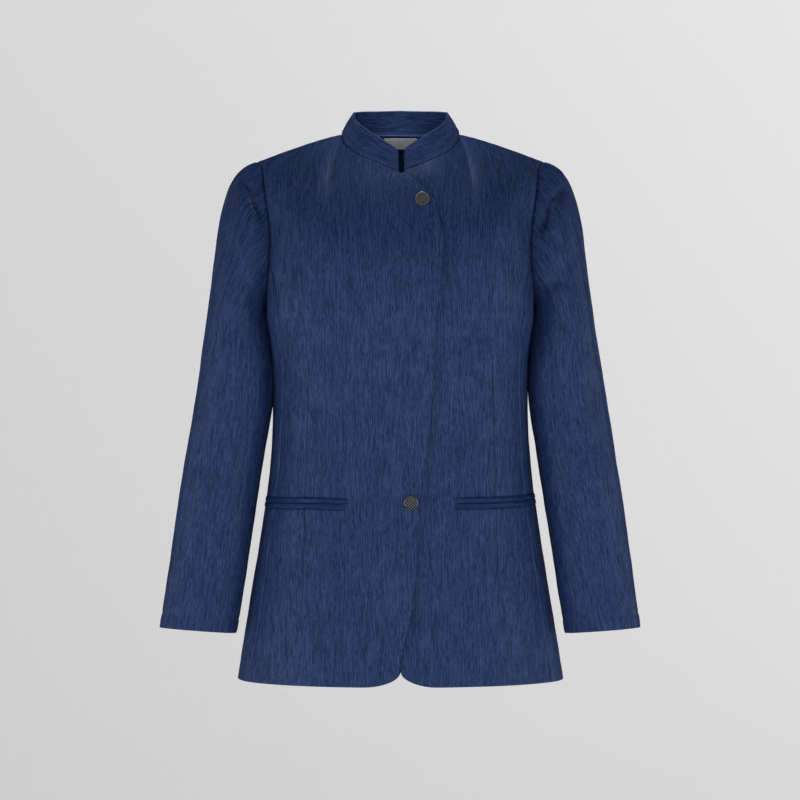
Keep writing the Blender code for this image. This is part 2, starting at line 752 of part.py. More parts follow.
def welt_sheet(word, side, upper):
    """Folded strip of a pocket, made from the panels' points and moved out."""
    centre = WELT_SLIT / 2 + WELT_BAND / 2
    offsets = [centre - WELT_BAND / 2, centre, centre + WELT_BAND / 2]
    if not upper:
        offsets = [-offset for offset in offsets]
    grid = []
    for offset, swell in zip(offsets, (0.0, WELT_SWELL, 0.0)):
        line = []
        for step in range(WELT_COLUMNS + 1):
            part = step / WELT_COLUMNS
            share = WELT_START + (WELT_END - WELT_START) * part
            height = WELT_HEIGHT + WELT_RISE[side] * part + offset
            level = (height - HEM_HEIGHT) / (BUST_HEIGHT - HEM_HEIGHT)
            point = body_point(share, level)
            reach = math.hypot(point[0] / WELT_FLATNESS, point[1])
            out = np.array([point[0] / WELT_FLATNESS / reach, point[1] / reach, 0.0])
            point = point + out * (TRIM_GAP + WELT_SWELL + TRIM_WALL + swell)
            line.append([point[0] * side, point[1], point[2]])
        grid.append(line)
    place = "upper" if upper else "lower"
    return Sheet("welt_" + place + "_" + word, grid, body_middle, DARK_CLOTH, TRIM_WALL)


def label_sheet():
    """Bare woven label on the inside of the back, under the collar seam."""
    grid = []
    for row in range(3):
        line = []
        for step in range(7):
            across = LABEL_HALF_WIDTH * (2.0 * step / 6 - 1.0)
            turn = math.degrees(math.asin(abs(across) / NECK_HALF_WIDTH))
            share = NECK_SHARE * turn / 90.0
            top = body_point(2.0 - share, 2.0)
            drop = LABEL_DROP + LABEL_HEIGHT * row / 2
            levels = np.linspace(1.6, 2.0, 41)
            heights = [body_point(2.0 - share, level)[2] for level in levels]
            level = float(np.interp(top[2] - drop, heights, levels))
            point = body_point(2.0 - share, level)
            line.append([across, point[1] - LABEL_INSET, point[2]])
        grid.append(line)
    return Sheet("neck_label", grid, body_middle, LABEL_CLOTH, LABEL_WALL)


def add_wall(sheet):
    """Closed wall: the outer grid, the same grid moved in, and a strip round the edge."""
    rows, columns = sheet.grid.shape[:2]
    outer = sheet.grid.reshape(-1, 3)
    inner = (sheet.grid - sheet.out * sheet.wall).reshape(-1, 3)
    mesh = bpy.data.meshes.new(sheet.name)
    shape = bmesh.new()
    outside = [shape.verts.new(point) for point in outer]
    inside = [shape.verts.new(point) for point in inner]
    for row in range(rows - 1):
        for step in range(columns - 1):
            a = row * columns + step
            corners = (a, a + 1, a + 1 + columns, a + columns)
            shape.faces.new([outside[corner] for corner in corners])
            shape.faces.new([inside[corner] for corner in reversed(corners)])
    ring = list(range(columns))
    ring += [row * columns + columns - 1 for row in range(1, rows)]
    ring += [(rows - 1) * columns + step for step in range(columns - 2, -1, -1)]
    ring += [row * columns for row in range(rows - 2, 0, -1)]
    for a, b in zip(ring, ring[1:] + ring[:1]):
        shape.faces.new([outside[b], outside[a], inside[a], inside[b]])
    bmesh.ops.recalc_face_normals(shape, faces=shape.faces)
    bmesh.ops.triangulate(shape, faces=shape.faces)
    shape.to_mesh(mesh)
    shape.free()
    mesh.shade_smooth()
    mesh.set_sharp_from_angle(angle=math.radians(50.0))
    made = bpy.data.objects.new(sheet.name, mesh)
    bpy.context.scene.collection.objects.link(made)
    made.data.materials.append(material(sheet.name + "_cloth", sheet.finish))
    return made


def surface_at(across, height):
    """Point and outward direction of the upper front at x and z, by a closing search."""
    share, level = -0.15, 1.0
    reach = (0.15, 0.80)
    for _ in range(6):
        best = None
        for trial_share in np.linspace(share - reach[0], share + reach[0], 15):
            for trial_level in np.linspace(level - reach[1], level + reach[1], 15):
                point = body_point(float(trial_share), float(trial_level))
                miss = math.hypot(-point[0] - across, point[2] - height)
                if best is None or miss < best[0]:
                    best = (miss, float(trial_share), float(trial_level))
        share, level = best[1], best[2]
        reach = (reach[0] * 0.25, reach[1] * 0.25)
    here = body_point(share, level)
    over = body_point(share + 0.02, level) - body_point(share - 0.02, level)
    up = body_point(share, level + 0.02) - body_point(share, level - 0.02)
    out = np.cross(over, up)
    out /= np.linalg.norm(out)
    if out[1] > 0:
        out = -out
    sunk = trough_depth(across, height, FRONT_TROUGHS)
    return np.array([across, here[1] + sunk, height]), np.array([-out[0], out[1], out[2]])


def button(place):
    """Metal button: shank, dished back, raised rim and a low dome, turned round its axis."""
    seat, out = surface_at(place.across, place.height)
    seat = seat + out * TRIM_GAP
    side = np.cross(out, np.array([0.0, 0.0, 1.0]))
    side /= np.linalg.norm(side)
    up = np.cross(side, out)
    shape = bmesh.new()
    rings = []
    for row in BUTTON_RINGS:
        ring = []
        for step in range(BUTTON_SIDES):
            turn = 2 * math.pi * step / BUTTON_SIDES
            spoke = side * math.cos(turn) + up * math.sin(turn)
            reach = row.share * BUTTON_RADIUS
            ring.append(shape.verts.new(seat + out * row.height + spoke * reach))
        rings.append(ring)
    back = shape.verts.new(seat)
    crown = shape.verts.new(seat + out * BUTTON_CROWN)
    for step in range(BUTTON_SIDES):
        after = (step + 1) % BUTTON_SIDES
        shape.faces.new([back, rings[0][step], rings[0][after]])
        shape.faces.new([crown, rings[-1][after], rings[-1][step]])
        for low, high in zip(rings, rings[1:]):
            shape.faces.new([low[step], low[after], high[after], high[step]])
    bmesh.ops.recalc_face_normals(shape, faces=shape.faces)
    mesh = bpy.data.meshes.new(place.name)
    shape.to_mesh(mesh)
    shape.free()
    mesh.shade_smooth()
    mesh.set_sharp_from_angle(angle=math.radians(40.0))
    made = bpy.data.objects.new(place.name, mesh)
    bpy.context.scene.collection.objects.link(made)
    made.data.materials.append(material(place.name + "_metal", BUTTON_METAL))


def build():
    clear_scene()
    over, over_neck = front_panel(
        "front_right", RIGHT, OVERLAP_EDGE, COLLAR_END_RIGHT, OVERLAP_TOP_LEVELS, False)
    under, under_neck = front_panel(
        "front_left", LEFT, UNDERLAP_EDGE, COLLAR_END_LEFT, UNDERLAP_TOP_LEVELS, True)
    side_right = side_panel("side_right", RIGHT)
    side_left = side_panel("side_left", LEFT)
    back_right = back_panel("back_right", RIGHT)
    back_left = back_panel("back_left", LEFT)
    loop_right = armhole_loop(over, side_right, back_right)
    loop_left = armhole_loop(under, side_left, back_left)
    sleeves = sleeve_sheets("right", RIGHT, loop_right, RIGHT_SLEEVE_TROUGHS)
    sleeves += sleeve_sheets("left", LEFT, loop_left, LEFT_SLEEVE_TROUGHS)
    neck = np.concatenate([
        over.grid[-1, 2:over_neck],
        back_right.grid[-1, :BACK_NECK_COLUMNS][::-1],
        back_left.grid[-1, 1:BACK_NECK_COLUMNS + 1],
        under.grid[-1, 2:under_neck - 1][::-1],
    ])
    collar = collar_sheet(neck)
    panels = [over, under, side_right, side_left, back_right, back_left]
    share_seam_directions(panels + list(sleeves) + [collar])
    for sheet in (over, under):
        sheet.pull_edges(last_row=SEAM_PULL, last_column=SEAM_PULL)
    for sheet in (side_right, side_left):
        sheet.pull_edges(last_row=SEAM_PULL, first_column=SEAM_PULL, last_column=SEAM_PULL)
    for sheet in (back_right, back_left):
        sheet.pull_edges(last_row=SEAM_PULL, first_column=SEAM_PULL, last_column=SEAM_PULL)
    for sheet in sleeves:
        sheet.pull_edges(first_row=SEAM_PULL, first_column=SEAM_PULL, last_column=SEAM_PULL)
    collar.pull_edges(first_row=SEAM_PULL)
    welts = []
    for word, side in (("right", RIGHT), ("left", LEFT)):
        for upper in (True, False):
            welts.append(welt_sheet(word, side, upper))
    for sheet in panels + list(sleeves) + [collar] + welts + [label_sheet()]:
        add_wall(sheet)
    for place in BUTTONS:
        button(place)


build()
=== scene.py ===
import math

import bpy
import numpy as np
from mathutils import Matrix, Vector


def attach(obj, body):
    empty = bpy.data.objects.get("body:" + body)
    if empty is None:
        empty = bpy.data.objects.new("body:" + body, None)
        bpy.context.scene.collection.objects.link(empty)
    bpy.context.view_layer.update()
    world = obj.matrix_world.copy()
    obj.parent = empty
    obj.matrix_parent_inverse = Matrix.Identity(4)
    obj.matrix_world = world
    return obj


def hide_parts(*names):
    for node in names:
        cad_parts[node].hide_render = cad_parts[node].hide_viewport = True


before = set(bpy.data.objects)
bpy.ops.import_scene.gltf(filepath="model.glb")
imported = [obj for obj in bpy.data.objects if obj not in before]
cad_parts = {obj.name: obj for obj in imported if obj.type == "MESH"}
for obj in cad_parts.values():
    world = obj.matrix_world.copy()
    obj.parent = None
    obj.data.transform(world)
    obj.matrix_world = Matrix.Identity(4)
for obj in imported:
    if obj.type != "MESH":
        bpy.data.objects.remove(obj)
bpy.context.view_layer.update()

bpy.ops.object.select_all(action="DESELECT")

# Camera and studio

view = {
    "place": (-0.0007, -3.5, -0.3538),
    "seenWidth": 1.064,  # metres across the picture at the garment's middle
    "sensor": 36.0,
}

studio = {
    "floorHeight": -1.12,
    "flat": 0.6,  # the level middle of the floor
    "radius": 5.2,
    "sweep": 2.6,  # how round the floor turns up into the wall
    "wallTop": 1.6,
    "paint": (0.62, 0.62, 0.62, 1.0),
    "glowLeft": (0.80, 0.80, 0.80, 1.0),
    "glowRight": (1.0, 1.0, 1.0, 1.0),
    "glow": 0.53,  # light that comes through the paper
    "glowReach": 1.3,
    "ambient": (0.80, 0.82, 0.85, 1.0),
    "ambientPower": 0.10,
}

# name, place, size across and up, power, aimed at
softLights = (
    ("keyLeft", (-2.3, -1.5, -0.75), (1.3, 1.6), 20.5, (0.0, 0.0, -0.42)),
    ("keyRight", (2.3, -1.5, -0.70), (1.3, 1.6), 15.5, (0.0, 0.0, -0.42)),
    ("front", (0.0, -3.3, -0.70), (1.5, 1.5), 23.0, (0.0, 0.0, -0.42)),
    ("neckFill", (0.0, -0.02, 0.15), (0.10, 0.04), 0.32, (0.0, 0.07, 0.0)),
)


def makeCamera():
    data = bpy.data.cameras.new("photoCamera")
    data.sensor_width = view["sensor"]
    data.lens = view["sensor"] * -view["place"][1] / view["seenWidth"]
    data.clip_end = 40.0
    made = bpy.data.objects.new("photoCamera", data)
    bpy.context.scene.collection.objects.link(made)
    made.location = view["place"]
    made.rotation_euler = (math.pi / 2, 0.0, 0.0)
    bpy.context.scene.camera = made


def makeBackdrop():
    # the floor's profile is drawn as points and spun round the middle
    turnStart = studio["radius"] - studio["sweep"]
    profile = [(out, studio["floorHeight"]) for out in (0.0, studio["flat"], turnStart * studio["flat"])]
    for angle in np.linspace(0.0, math.pi / 2, 25):
        out = turnStart + studio["sweep"] * math.sin(angle)
        up = studio["floorHeight"] + studio["sweep"] * (1 - math.cos(angle))
        profile.append((out, up))
    profile.append((studio["radius"], studio["wallTop"]))
    mesh = bpy.data.meshes.new("paperSweep")
    links = [(step, step + 1) for step in range(len(profile) - 1)]
    mesh.from_pydata([(out, 0.0, up) for out, up in profile], links, [])
    made = bpy.data.objects.new("paperSweep", mesh)
    bpy.context.scene.collection.objects.link(made)
    bpy.context.view_layer.objects.active = made
    made.select_set(True)
    bpy.ops.object.mode_set(mode="EDIT")
    bpy.ops.mesh.select_all(action="SELECT")
    bpy.ops.mesh.spin(steps=96, angle=2 * math.pi, center=(0, 0, 0), axis=(0, 0, 1))
    bpy.ops.mesh.select_all(action="SELECT")
    bpy.ops.mesh.remove_doubles(threshold=0.0005)
    bpy.ops.mesh.normals_make_consistent(inside=True)
    bpy.ops.object.mode_set(mode="OBJECT")
    bpy.ops.object.shade_smooth()
    made.select_set(False)
    paint = bpy.data.materials.new("palePaper")
    paint.use_nodes = True
    shader = paint.node_tree.nodes["Principled BSDF"]
    shader.inputs["Base Color"].default_value = studio["paint"]
    shader.inputs["Roughness"].default_value = 0.9
    shader.inputs["Specular IOR Level"].default_value = 0.1
    shader.inputs["Emission Strength"].default_value = studio["glow"]
    tree = paint.node_tree
    place = tree.nodes.new("ShaderNodeTexCoord")
    parts = tree.nodes.new("ShaderNodeSeparateXYZ")
    spread = tree.nodes.new("ShaderNodeMapRange")
    spread.inputs["From Min"].default_value = -studio["glowReach"]
    spread.inputs["From Max"].default_value = studio["glowReach"]
    tone = tree.nodes.new("ShaderNodeMix")
    tone.data_type = "RGBA"
    tone.inputs["A"].default_value = studio["glowLeft"]
    tone.inputs["B"].default_value = studio["glowRight"]
    tree.links.new(place.outputs["Object"], parts.inputs[0])
    tree.links.new(parts.outputs[0], spread.inputs["Value"])
    tree.links.new(spread.outputs[0], tone.inputs["Factor"])
    tree.links.new(tone.outputs["Result"], shader.inputs["Emission Color"])
    mesh.materials.append(paint)


def makeLights():
    for name, place, size, power, aim in softLights:
        data = bpy.data.lights.new(name, "AREA")
        data.shape = "RECTANGLE"
        data.size, data.size_y = size
        data.energy = power
        made = bpy.data.objects.new(name, data)
        made.visible_camera = False
        bpy.context.scene.collection.objects.link(made)
        made.location = place
        made.rotation_euler = (Vector(aim) - Vector(place)).to_track_quat("-Z", "Y").to_euler()
    world = bpy.data.worlds.new("softRoom")
    world.use_nodes = True
    sky = world.node_tree.nodes["Background"]
    sky.inputs["Color"].default_value = studio["ambient"]
    sky.inputs["Strength"].default_value = studio["ambientPower"]
    bpy.context.scene.world = world
    bpy.context.scene.view_settings.view_transform = "Standard"


makeCamera()
makeBackdrop()
makeLights()
print("camera, backdrop and lights are in place")

# The cut of the jacket: the same body, neck, armhole and sleeve lines as the solid part has
body = {
    "hem": -0.722,
    "bust": -0.245,
    "armpit": -0.232,
    "flatness": 1.6,
    "riseFullness": 0.42,
    "cornerLevel": 0.30,
    "cornerSweep": 2.2,
    "frontCorner": (0.050, 0.0205),  # width and height of the rounding
    # height, half width, front depth, back depth, squareness
    "rings": (
        (-0.722, 0.2165, 0.127, 0.125, 2.15),
        (-0.652, 0.2055, 0.122, 0.122, 2.20),
        (-0.588, 0.1948, 0.117, 0.117, 2.25),
        (-0.524, 0.1842, 0.112, 0.110, 2.30),
        (-0.460, 0.1750, 0.107, 0.101, 2.35),
        (-0.400, 0.1702, 0.104, 0.094, 2.40),
        (-0.354, 0.1692, 0.104, 0.091, 2.42),
        (-0.300, 0.1700, 0.110, 0.094, 2.75),
        (-0.245, 0.1762, 0.122, 0.104, 3.60),
    ),
    # share of the way to the side, slope at the front, at the back, turn, fullness
    "topSlopes": (
        (-0.350, 40.0, 34.0, -16.0, 0.560),
        (-0.175, 50.0, 46.0, -9.0, 0.430),
        (0.00, 60.0, 56.0, 0.0, 0.400),
        (0.175, 50.0, 46.0, 9.0, 0.430),
        (0.350, 40.0, 34.0, 16.0, 0.560),
        (0.55, 36.0, 31.0, 8.0, 0.540),
        (0.78, 36.0, 33.0, 0.0, 0.510),
        (0.93, 46.0, 44.0, 0.0, 0.470),
        (1.00, 76.0, 76.0, 0.0, 0.420),
    ),
    # height, reach in front of the side line, reach behind it
    "armhole": (
        (-0.232, 0.000, 0.000),
        (-0.226, 0.020, 0.018),
        (-0.212, 0.038, 0.034),
        (-0.190, 0.049, 0.047),
        (-0.160, 0.052, 0.052),
        (-0.125, 0.048, 0.049),
        (-0.090, 0.035, 0.039),
        (-0.062, 0.019, 0.024),
        (-0.047, 0.008, 0.010),
        (-0.037, 0.000, 0.000),
    ),
    # height, share of the front seam, share of the back seam of the side panel
    "sideSeams": (
        (-0.722, 0.775, 0.70),
        (-0.600, 0.770, 0.70),
        (-0.460, 0.770, 0.70),
        (-0.354, 0.755, 0.70),
        (-0.245, 0.660, 0.72),
    ),
}

neck = {
    "halfWidth": 0.079,
    "frontDepth": 0.068,
    "backDepth": 0.060,
    "frontDrop": 0.055,
    "backRise": 0.003,
    "curve": 0.85,
    "tipOut": 0.191,
    "tipDrop": 0.037,
    "shoulderCurve": 1.2,
    "share": 0.35,  # how much of the top line is neck, the rest is shoulder
}

# height, how far the edge passes the centre line
overlap = {
    "edge": (
        (-0.722, 0.000),
        (-0.703, 0.002),
        (-0.658, 0.012),
        (-0.590, 0.020),
        (-0.517, 0.023),
        (-0.477, 0.0265),
        (-0.434, 0.032),
        (-0.318, 0.043),
        (-0.233, 0.047),
        (-0.169, 0.0535),
        (-0.122, 0.0515),
        (-0.089, 0.040),
        (-0.059, 0.010),
    ),
    "collarEnd": 0.003,
    "topLevels": (0.963, 0.982),
}

underlap = {
    "edge": (
        (-0.722, 0.000),
        (-0.690, 0.002),
        (-0.600, 0.012),
        (-0.120, 0.012),
        (-0.059, 0.006),
    ),
    "collarEnd": 0.005,
    "topLevels": (0.960, 0.967),
    "inset": 0.0048,
    "ease": 0.030,
    "margin": 0.004,
}

sleeve = {
    # height, distance out, half width, half depth, distance forward
    "rings": (
        (-0.656, 0.2661, 0.0501, 0.036, 0.033),
        (-0.604, 0.2581, 0.0507, 0.039, 0.028),
        (-0.540, 0.2491, 0.0512, 0.044, 0.022),
        (-0.476, 0.2403, 0.0515, 0.049, 0.016),
        (-0.412, 0.2306, 0.0513, 0.053, 0.010),
        (-0.348, 0.2206, 0.0512, 0.058, 0.005),
        (-0.300, 0.2169, 0.0479, 0.061, 0.002),
        (-0.262, 0.2160, 0.0436, 0.062, 0.000),
    ),
    "squareness": 2.2,
    "radius": 0.052,
    "axisStep": 0.010,
    "capPullOut": 0.235,
    "capPullDown": 0.58,
    "capOutward": 0.95,
    "capForward": 0.45,
    "capFallOutside": 0.24,
    "capFallInside": 2.0,
    "underSeam": 0.25,  # where the under sleeve starts, as a share of the side panel's top
    # how the sleeve head narrows round the shoulder, for the run of the weave
    "headShift": 0.066,
    "headDepth": 0.045,
    "headNarrow": 0.20,
}

collar = {
    # angle from the centre front, rise, inward lean
    "band": (
        (0.0, 0.0270, 0.008),
        (25.0, 0.0325, 0.010),
        (50.0, 0.0335, 0.013),
        (90.0, 0.0288, 0.0165),
        (130.0, 0.0315, 0.013),
        (180.0, 0.0330, 0.008),
    ),
    "halfDepth": 0.064,
    "bow": 0.0012,
    "cornerRadius": 0.006,
}

# Pocket welts, their place as on the solid part
welt = {
    "height": -0.488,
    "rise": {-1: 0.000, 1: 0.004},
    "band": 0.0062,
    "slit": 0.0008,
    "start": 0.300,
    "end": 0.975,
    "wall": 0.0009,
    "lift": 0.0011,
    "swell": 0.0009,
    "wave": 0.0004,
    "grooveDepth": 0.0018,
    "grooveWidth": 0.0012,
    "taper": 0.10,  # share of the length over which the ends go flat
    "rowStep": 0.0011,  # distance between the panel's rows there
    "rowReach": (-0.011, 0.0145),
}

# Neck label, bare, inside the back
label = {
    "halfWidth": 0.0225,
    "height": 0.0135,
    "drop": 0.003,
    "inset": 0.0030,
    "wall": 0.0006,
}

# Cloth and sewing
cloth = {
    "wall": 0.0018,
    "step": 0.0036,  # distance between the mesh's rows
    "seamDepth": 0.0011,
    "seamWidth": 0.0013,
    "armholeDepth": 0.0021,
    "puffHeight": 0.00022,
    "puffPlace": 0.0048,
    "puffWidth": 0.0032,
    "puckerHeight": 0.00028,
    "puckerPlace": 0.006,
    "puckerWaves": (0.021, 0.083),
    "rollHidden": 0.04,  # how round a sewn edge is, a free edge is 1
    "tight": (0.0, 0.0006, 0.0012, 0.0020, 0.0031, 0.0048),
}

# Soft troughs: start across and up, end across and up, width, depth. Less than 0 is a ridge.
bodyFolds = {
    "front": (
        # drapes from the armholes to the chest
        (-0.168, -0.085, -0.150, -0.190, 0.012, 0.0030),
        (-0.150, -0.200, -0.118, -0.130, 0.012, 0.0018),
        (0.165, -0.085, 0.150, -0.185, 0.012, 0.0026),
        (0.152, -0.190, 0.118, -0.140, 0.012, 0.0018),
        (0.168, -0.150, 0.140, -0.235, 0.010, 0.0020),
        # pulls beside the top button
        (0.022, -0.110, 0.004, -0.128, 0.007, 0.0016),
        (0.030, -0.112, 0.044, -0.150, 0.006, 0.0010),
        # bust darts
        (-0.116, -0.300, -0.122, -0.450, 0.0016, 0.0011),
        (0.120, -0.300, 0.116, -0.450, 0.0016, 0.0011),
        (-0.120, -0.500, -0.124, -0.605, 0.0016, 0.0008),
        (0.116, -0.500, 0.122, -0.620, 0.0016, 0.0008),
        # waist drag lines
        (-0.152, -0.345, -0.090, -0.362, 0.010, 0.0016),
        (0.152, -0.340, 0.092, -0.358, 0.010, 0.0016),
        (-0.140, -0.395, -0.095, -0.392, 0.009, 0.0010),
        (0.146, -0.402, 0.100, -0.396, 0.009, 0.0010),
        # pulls to the lower button
        (-0.060, -0.470, -0.004, -0.482, 0.009, 0.0012),
        (0.070, -0.462, 0.030, -0.480, 0.008, 0.0012),
        # skirt flutes
        (-0.062, -0.560, -0.066, -0.700, 0.020, 0.0022),
        (0.074, -0.570, 0.080, -0.700, 0.020, 0.0022),
        (-0.150, -0.540, -0.166, -0.690, 0.014, 0.0018),
        (0.148, -0.540, 0.164, -0.690, 0.014, 0.0018),
    ),
    "back": (
        (-0.166, -0.090, -0.128, -0.200, 0.013, 0.0032),
        (0.166, -0.096, 0.128, -0.206, 0.013, 0.0030),
        (-0.140, -0.240, -0.100, -0.210, 0.012, 0.0018),
        (0.142, -0.246, 0.104, -0.214, 0.012, 0.0018),
        (-0.150, -0.352, -0.060, -0.338, 0.012, 0.0024),
        (0.150, -0.366, 0.056, -0.350, 0.012, 0.0024),
        (-0.110, -0.398, -0.020, -0.388, 0.011, 0.0016),
        (0.120, -0.410, 0.030, -0.400, 0.011, 0.0016),
        (0.082, -0.560, 0.088, -0.705, 0.022, 0.0028),
        (-0.090, -0.555, -0.098, -0.705, 0.022, 0.0026),
        (-0.012, -0.030, -0.050, -0.060, 0.012, 0.0010),
        (0.012, -0.030, 0.052, -0.062, 0.012, 0.0010),
    ),
    "fadeDepth": 0.045,
    "fadeLevel": 1.86,
    "calmLevel": 1.93,  # no ripples above this level, so that the seams meet
}

sleeveFolds = {
    "front": (
        # creases from the sleeve head
        (-0.208, -0.058, -0.190, -0.078, 0.0060, 0.0070),
        (-0.199, -0.066, -0.181, -0.112, 0.0060, 0.0070),
        (-0.212, -0.078, -0.196, -0.130, 0.009, -0.0035),
        (-0.232, -0.140, -0.196, -0.215, 0.012, 0.0022),
        (-0.190, -0.215, -0.232, -0.275, 0.011, 0.0024),
        (0.2148, -0.071, 0.194, -0.092, 0.0065, 0.0070),
        (0.1957, -0.087, 0.181, -0.134, 0.0065, 0.0070),
        (0.214, -0.094, 0.200, -0.140, 0.009, -0.0035),
        (0.236, -0.150, 0.190, -0.215, 0.011, 0.0026),
        (0.186, -0.190, 0.226, -0.205, 0.009, 0.0020),
        (0.186, -0.240, 0.222, -0.258, 0.010, 0.0022),
        # elbows
        (-0.190, -0.338, -0.232, -0.368, 0.010, 0.0020),
        (-0.206, -0.410, -0.246, -0.396, 0.010, 0.0016),
        (-0.272, -0.432, -0.236, -0.452, 0.011, 0.0014),
        (0.190, -0.345, 0.230, -0.385, 0.010, 0.0022),
        (0.200, -0.402, 0.240, -0.418, 0.010, 0.0016),
        (0.262, -0.400, 0.236, -0.440, 0.011, 0.0014),
        # forearms
        (-0.216, -0.520, -0.250, -0.560, 0.011, 0.0014),
        (-0.284, -0.560, -0.256, -0.610, 0.012, 0.0012),
        (0.214, -0.500, 0.250, -0.545, 0.011, 0.0016),
        (0.288, -0.580, 0.262, -0.620, 0.012, 0.0012),
    ),
    "back": (
        (-0.206, -0.075, -0.184, -0.170, 0.010, 0.0032),
        (-0.240, -0.150, -0.196, -0.240, 0.012, 0.0024),
        (-0.196, -0.370, -0.254, -0.345, 0.011, 0.0030),
        (-0.200, -0.405, -0.264, -0.400, 0.011, 0.0026),
        (-0.262, -0.470, -0.224, -0.446, 0.011, 0.0018),
        (-0.230, -0.570, -0.272, -0.596, 0.012, 0.0014),
        (0.206, -0.080, 0.182, -0.175, 0.010, 0.0032),
        (0.238, -0.160, 0.194, -0.250, 0.012, 0.0024),
        (0.196, -0.360, 0.256, -0.340, 0.011, 0.0030),
        (0.202, -0.398, 0.262, -0.388, 0.011, 0.0026),
        (0.264, -0.455, 0.222, -0.436, 0.011, 0.0018),
        (0.228, -0.555, 0.270, -0.585, 0.012, 0.0014),
    ),
    "turnDepth": 0.06,  # over which the front creases give way to the back ones
    "rippleShare": 1.2,
    "easeIn": 0.03,
}

# Turned-up edges: distance of the stitch line from the edge, depth, width
hems = {"body": (0.022, 0.00022, 0.0016), "sleeve": (0.019, 0.00070, 0.0022)}

ripples = {"seed": 5, "count": 22, "shortest": 0.035, "longest": 0.120, "height": 0.00042}


def along(rows, pick, at):
    # value of a table's column on a smooth curve through its rows
    rows = np.array(rows, float)
    place, value = rows[:, 0], rows[:, pick]
    slope = np.gradient(value, place)
    at = np.clip(at, place[0], place[-1])
    low = np.clip(np.searchsorted(place, at, side="right") - 1, 0, len(place) - 2)
    span = place[low + 1] - place[low]
    t = (at - place[low]) / span
    start = (1 + 2 * t) * (1 - t) ** 2 * value[low] + t * (1 - t) ** 2 * span * slope[low]
    end = t * t * (3 - 2 * t) * value[low + 1] + t * t * (t - 1) * span * slope[low + 1]
    return start + end


def softStep(value):
    value = np.clip(value, 0.0, 1.0)
    return value * value * (3.0 - 2.0 * value)


def unit(vectors):
    return vectors / np.maximum(np.linalg.norm(vectors, axis=-1, keepdims=True), 1e-12)


def ringTurns(pick):
    # angle round a body ring for each share of its length, at evenly spaced heights
    heights = np.linspace(body["hem"], body["bust"], 41)
    angles = np.linspace(0.0, math.pi / 2, 901)
    shares = np.linspace(0.0, 1.0, 241)
    turns = []
    for height in heights:
        wide, deep = along(body["rings"], 1, height), along(body["rings"], pick, height)
        power = 2.0 / along(body["rings"], 4, height)
        across = wide * np.sin(angles) ** power
        back = deep * np.clip(np.cos(angles), 0.0, 1.0) ** power
        lengths = np.concatenate([[0.0], np.cumsum(np.hypot(np.diff(across), np.diff(back)))])
        turns.append(np.interp(shares * lengths[-1], lengths, angles))
    return np.array(turns)


turnTables = {2: ringTurns(2), 3: ringTurns(3)}


def ringPoint(height, share, pick):
    table = turnTables[pick]
    up = np.clip((height - body["hem"]) / (body["bust"] - body["hem"]), 0.0, 1.0) * (len(table) - 1)
    over = np.clip(np.abs(share), 0.0, 1.0) * (table.shape[1] - 1)
    row = np.clip(up.astype(int), 0, len(table) - 2)
    step = np.clip(over.astype(int), 0, table.shape[1] - 2)
    up, over = up - row, over - step
    low = table[row, step] * (1 - over) + table[row, step + 1] * over
    high = table[row + 1, step] * (1 - over) + table[row + 1, step + 1] * over
    turn = low * (1 - up) + high * up
    power = 2.0 / along(body["rings"], 4, height)
    x = along(body["rings"], 1, height) * np.sin(turn) ** power * np.where(share >= 0, 1.0, -1.0)
    y = along(body["rings"], pick, height) * np.clip(np.cos(turn), 0.0, 1.0) ** power
    return np.stack([x, -y if pick == 2 else y, height], axis=-1)


def topPoint(share, pick):
    # the neck seam near the centre, then the shoulder seam
    angle = np.radians(90.0 * np.minimum(share, neck["share"]) / neck["share"])
    fade = np.clip(1.0 - np.abs(angle) / (math.pi / 2), 0.0, 1.0) ** neck["curve"]
    x = neck["halfWidth"] * np.sin(angle)
    if pick == 2:
        y, z = -neck["frontDepth"] * np.cos(angle), -neck["frontDrop"] * fade
    else:
        y, z = neck["backDepth"] * np.cos(angle), neck["backRise"] * fade
    past = np.clip((share - neck["share"]) / (1.0 - neck["share"]), 0.0, 1.0)
    x = np.where(past > 0, neck["halfWidth"] + (neck["tipOut"] - neck["halfWidth"]) * past, x)
    y = np.where(past > 0, 0.0, y)
    z = np.where(past > 0, -neck["tipDrop"] * past ** neck["shoulderCurve"], z)
    return np.stack([x, y, z], axis=-1)


def halfPoint(share, level, pick):
    height = body["hem"] + (body["bust"] - body["hem"]) * np.minimum(level, 1.0)
    start = ringPoint(height, share, pick)
    end = topPoint(share, pick)
    slope = np.radians(along(body["topSlopes"], pick - 1, share))
    turn = np.radians(along(body["topSlopes"], 3, share))
    inward = np.cos(turn) * np.cos(slope) * (1 if pick == 2 else -1)
    arrive = np.stack([-np.sin(turn) * np.cos(slope), inward, np.sin(slope)], axis=-1)
    reach = np.linalg.norm(end - start, axis=-1, keepdims=True)
    lead = start + np.array([0.0, 0.0, 1.0]) * body["riseFullness"] * reach
    trail = end - arrive * along(body["topSlopes"], 4, share)[..., None] * reach
    t = np.clip(level - 1.0, 0.0, 1.0)[..., None]
    return bezier(start, lead, trail, end, t)


def bezier(start, lead, trail, end, t):
    return (1 - t) ** 3 * start + 3 * (1 - t) ** 2 * t * lead + 3 * (1 - t) * t * t * trail + t ** 3 * end


def bodyPoint(around, level):
    # around: 0 centre front, 1 side, 2 centre back. level: 0 hem, 1 bust, 2 neck and shoulder
    around, level = np.broadcast_arrays(np.asarray(around, float), np.asarray(level, float))
    front = halfPoint(np.minimum(around, 1.0), level, 2)
    back = halfPoint(np.minimum(2.0 - around, 1.0), level, 3)
    return np.where((around <= 1.0)[..., None], front, back)


